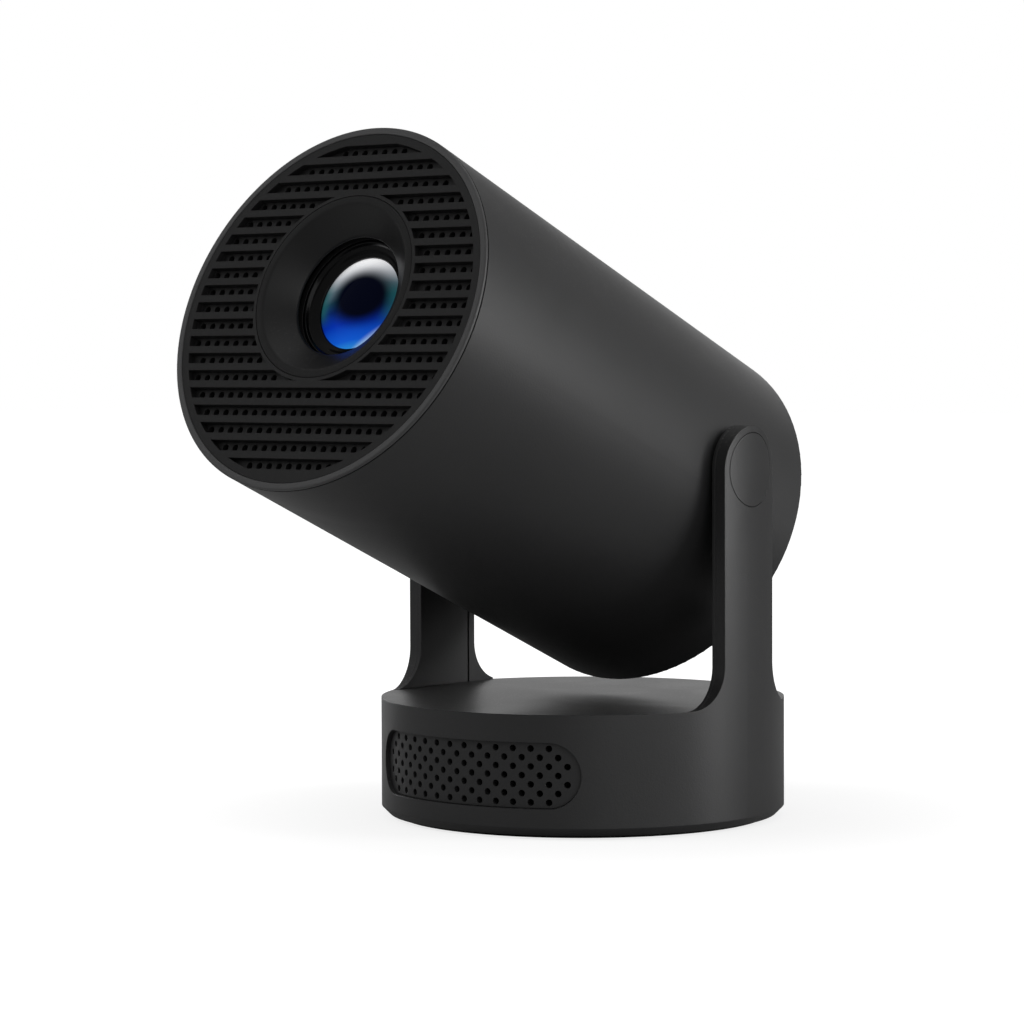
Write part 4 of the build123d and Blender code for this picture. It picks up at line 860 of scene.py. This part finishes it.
# ---- screws: four in the rear cap and four under the base ----
rear_back, rear_front, _, _ = reach("rear_screws", BARREL_FRAME)
rear_circle = 44.4 * MM
rear_places = [BARREL + ACROSS * x + RISE * y + FORWARD * rear_back for x, y in four_corners(rear_circle)]
screw_set("rear_cap_screws", rear_places, FORWARD, "barrel", "rear_screws", rear_front - rear_back)

base_low, base_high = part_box("base_screws")
base_circle = 44.0 * MM
base_places = [Vector((x, y, base_low.z)) for x, y in four_corners(base_circle)]
screw_set("underside_screws", base_places, UP, "stand", "base_screws", base_high.z - base_low.z)

# ---- foot ring: a soft ring with a fine tread ----
foot_low, foot_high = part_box("foot_ring")
foot_outer = foot_high.x
foot_inner = foot_outer - 3.4 * MM
tread = 0.1 * MM
foot_profile = softened([
    (foot_low.z + tread, foot_inner), (foot_low.z + tread, foot_outer), (foot_high.z, foot_outer),
    (foot_high.z, foot_inner),
], [0.4 * MM, 0.4 * MM, 0.1 * MM, 0.1 * MM])
foot_mesh = turned_mesh("foot_body", foot_profile, STAND_FRAME, 128)
rib_height = 0.4 * MM
foot_mesh = grown("foot_tread", foot_mesh, RIBS, {
    "Count": 180, "Radius": foot_inner + 1.1 * MM, "Size": (1.6 * MM, 0.9 * MM, rib_height),
    "Height": foot_low.z + rib_height / 2, "Finish": finishes["foot_rubber"],
})
settle("foot_tread", foot_mesh, "stand", ["foot_ring"], sharp=0.5)


# ======================================================================
# Camera, floor and studio light
# ======================================================================
def aim(holder, place_at, target):
    direction = (Vector(target) - Vector(place_at)).normalized()
    holder.location = place_at
    holder.rotation_euler = direction.to_track_quat("-Z", "Y").to_euler()


def bearing(around, above):
    """A unit vector that points round the object from its front, and up from the table."""
    return Vector((math.sin(around) * math.cos(above), -math.cos(around) * math.cos(above),
                   math.sin(above)))


def set_camera():
    """A long lens, a little above the table, looking at the lens's right-hand side."""
    base_radius = 56.5 * MM
    distance = 17.174 * base_radius
    around, above = math.radians(37.792), math.radians(4.206)
    yaw, down, roll = math.radians(1.161), math.radians(2.53), math.radians(-0.216)
    spot = bearing(around, above) * distance + UP * base_radius
    forward = -bearing(around + yaw, down)
    right = forward.cross(UP).normalized()
    up = right.cross(forward)
    turned_right = right * math.cos(roll) + up * math.sin(roll)
    turned_up = up * math.cos(roll) - right * math.sin(roll)
    turn = Matrix((turned_right, turned_up, -forward)).transposed().to_4x4()
    camera = bpy.data.objects.new("camera", bpy.data.cameras.new("camera"))
    camera.data.lens = 121.4
    camera.data.sensor_width = 36.0
    bpy.context.scene.collection.objects.link(camera)
    camera.matrix_world = Matrix.Translation(spot) @ turn
    bpy.context.scene.camera = camera


def soft_light(name, around, above, distance, width, height, power, target=(0, 0, 0.09)):
    """A rectangular softbox at a bearing round the object, hidden from the camera."""
    lamp = bpy.data.lights.new(name, "AREA")
    lamp.shape = "RECTANGLE"
    lamp.size, lamp.size_y = width, height
    lamp.energy = power
    holder = bpy.data.objects.new(name, lamp)
    bpy.context.scene.collection.objects.link(holder)
    offset = bearing(math.radians(around), math.radians(above)) * distance
    aim(holder, Vector(target) + offset, target)
    holder.visible_camera = False
    return holder


def set_world():
    """White behind the object, and a grey that lights it from all round."""
    world = bpy.data.worlds.new("studio")
    bpy.context.scene.world = world
    world.use_nodes = True
    tree = world.node_tree
    background = tree.nodes["Background"]
    seen = add(tree, "ShaderNodeLightPath").outputs["Is Camera Ray"]
    tone = blend(tree, seen, (0.24, 0.24, 0.24, 1), (1, 1, 1, 1))
    tree.links.new(tone, background.inputs["Color"])
    background.inputs["Strength"].default_value = 1.0


def set_floor():
    """A pale floor that glows into the white behind it, but reflects light as a dull grey; its glow dims near the
    object as a painted shadow.
    """
    mesh = bpy.data.meshes.new("floor")
    half = 6.0
    corners = [(-half, -half, 0), (half, -half, 0), (half, half, 0), (-half, half, 0)]
    mesh.from_pydata(corners, [], [(0, 1, 2, 3)])
    floor = bpy.data.objects.new("floor", mesh)
    bpy.context.scene.collection.objects.link(floor)
    material = bpy.data.materials.new("pale_floor")
    material.use_nodes = True
    tree = material.node_tree
    tree.nodes.remove(tree.nodes["Principled BSDF"])
    seen = add(tree, "ShaderNodeLightPath").outputs["Is Camera Ray"]
    where = add(tree, "ShaderNodeTexCoord").outputs["Object"]
    away = add(tree, "ShaderNodeVectorMath", {0: where}, operation="LENGTH").outputs["Value"]
    # Painted shadow: the floor's glow is dimmer near the object and full white further out.
    painted_floor_shadow = add(tree, "ShaderNodeMapRange", {
        "Value": away, "From Min": 0.055, "From Max": 0.22, "To Min": 0.77, "To Max": 1.0,
    }, interpolation_type="SMOOTHSTEP")
    glow = add(tree, "ShaderNodeEmission", {"Color": (1, 1, 1, 1), "Strength": painted_floor_shadow.outputs[0]})
    lit = add(tree, "ShaderNodeBsdfDiffuse", {"Color": (0.3, 0.3, 0.3, 1)})
    bright = add(tree, "ShaderNodeAddShader", {0: glow.outputs[0], 1: lit.outputs[0]})
    dull = add(tree, "ShaderNodeBsdfDiffuse", {"Color": (0.37, 0.37, 0.37, 1)})
    either = add(tree, "ShaderNodeMixShader", {0: seen, 1: dull.outputs[0], 2: bright.outputs[0]})
    tree.links.new(either.outputs[0], tree.nodes["Material Output"].inputs["Surface"])
    mesh.materials.append(material)


def set_lights():
    soft_light("side_softbox", 117, 9, 0.9, 0.32, 0.9, 5.4)
    soft_light("top_softbox", 150, 78, 0.9, 0.8, 0.8, 0.9)
    soft_light("back_card", 218, 8, 1.2, 1.6, 0.42, 1.35)
    soft_light("front_fill", 72, 16, 1.3, 1.7, 1.2, 5.4)
    soft_light("rear_left_strip", 252, 8, 1.0, 0.25, 0.5, 1.1)
    front_left = soft_light("front_left_softbox", -42, 30, 0.9, 0.5, 0.5, 3.6)
    front_left.visible_glossy = False


set_camera()
set_world()
set_floor()
set_lights()
bpy.context.scene.view_settings.view_transform = "Standard"
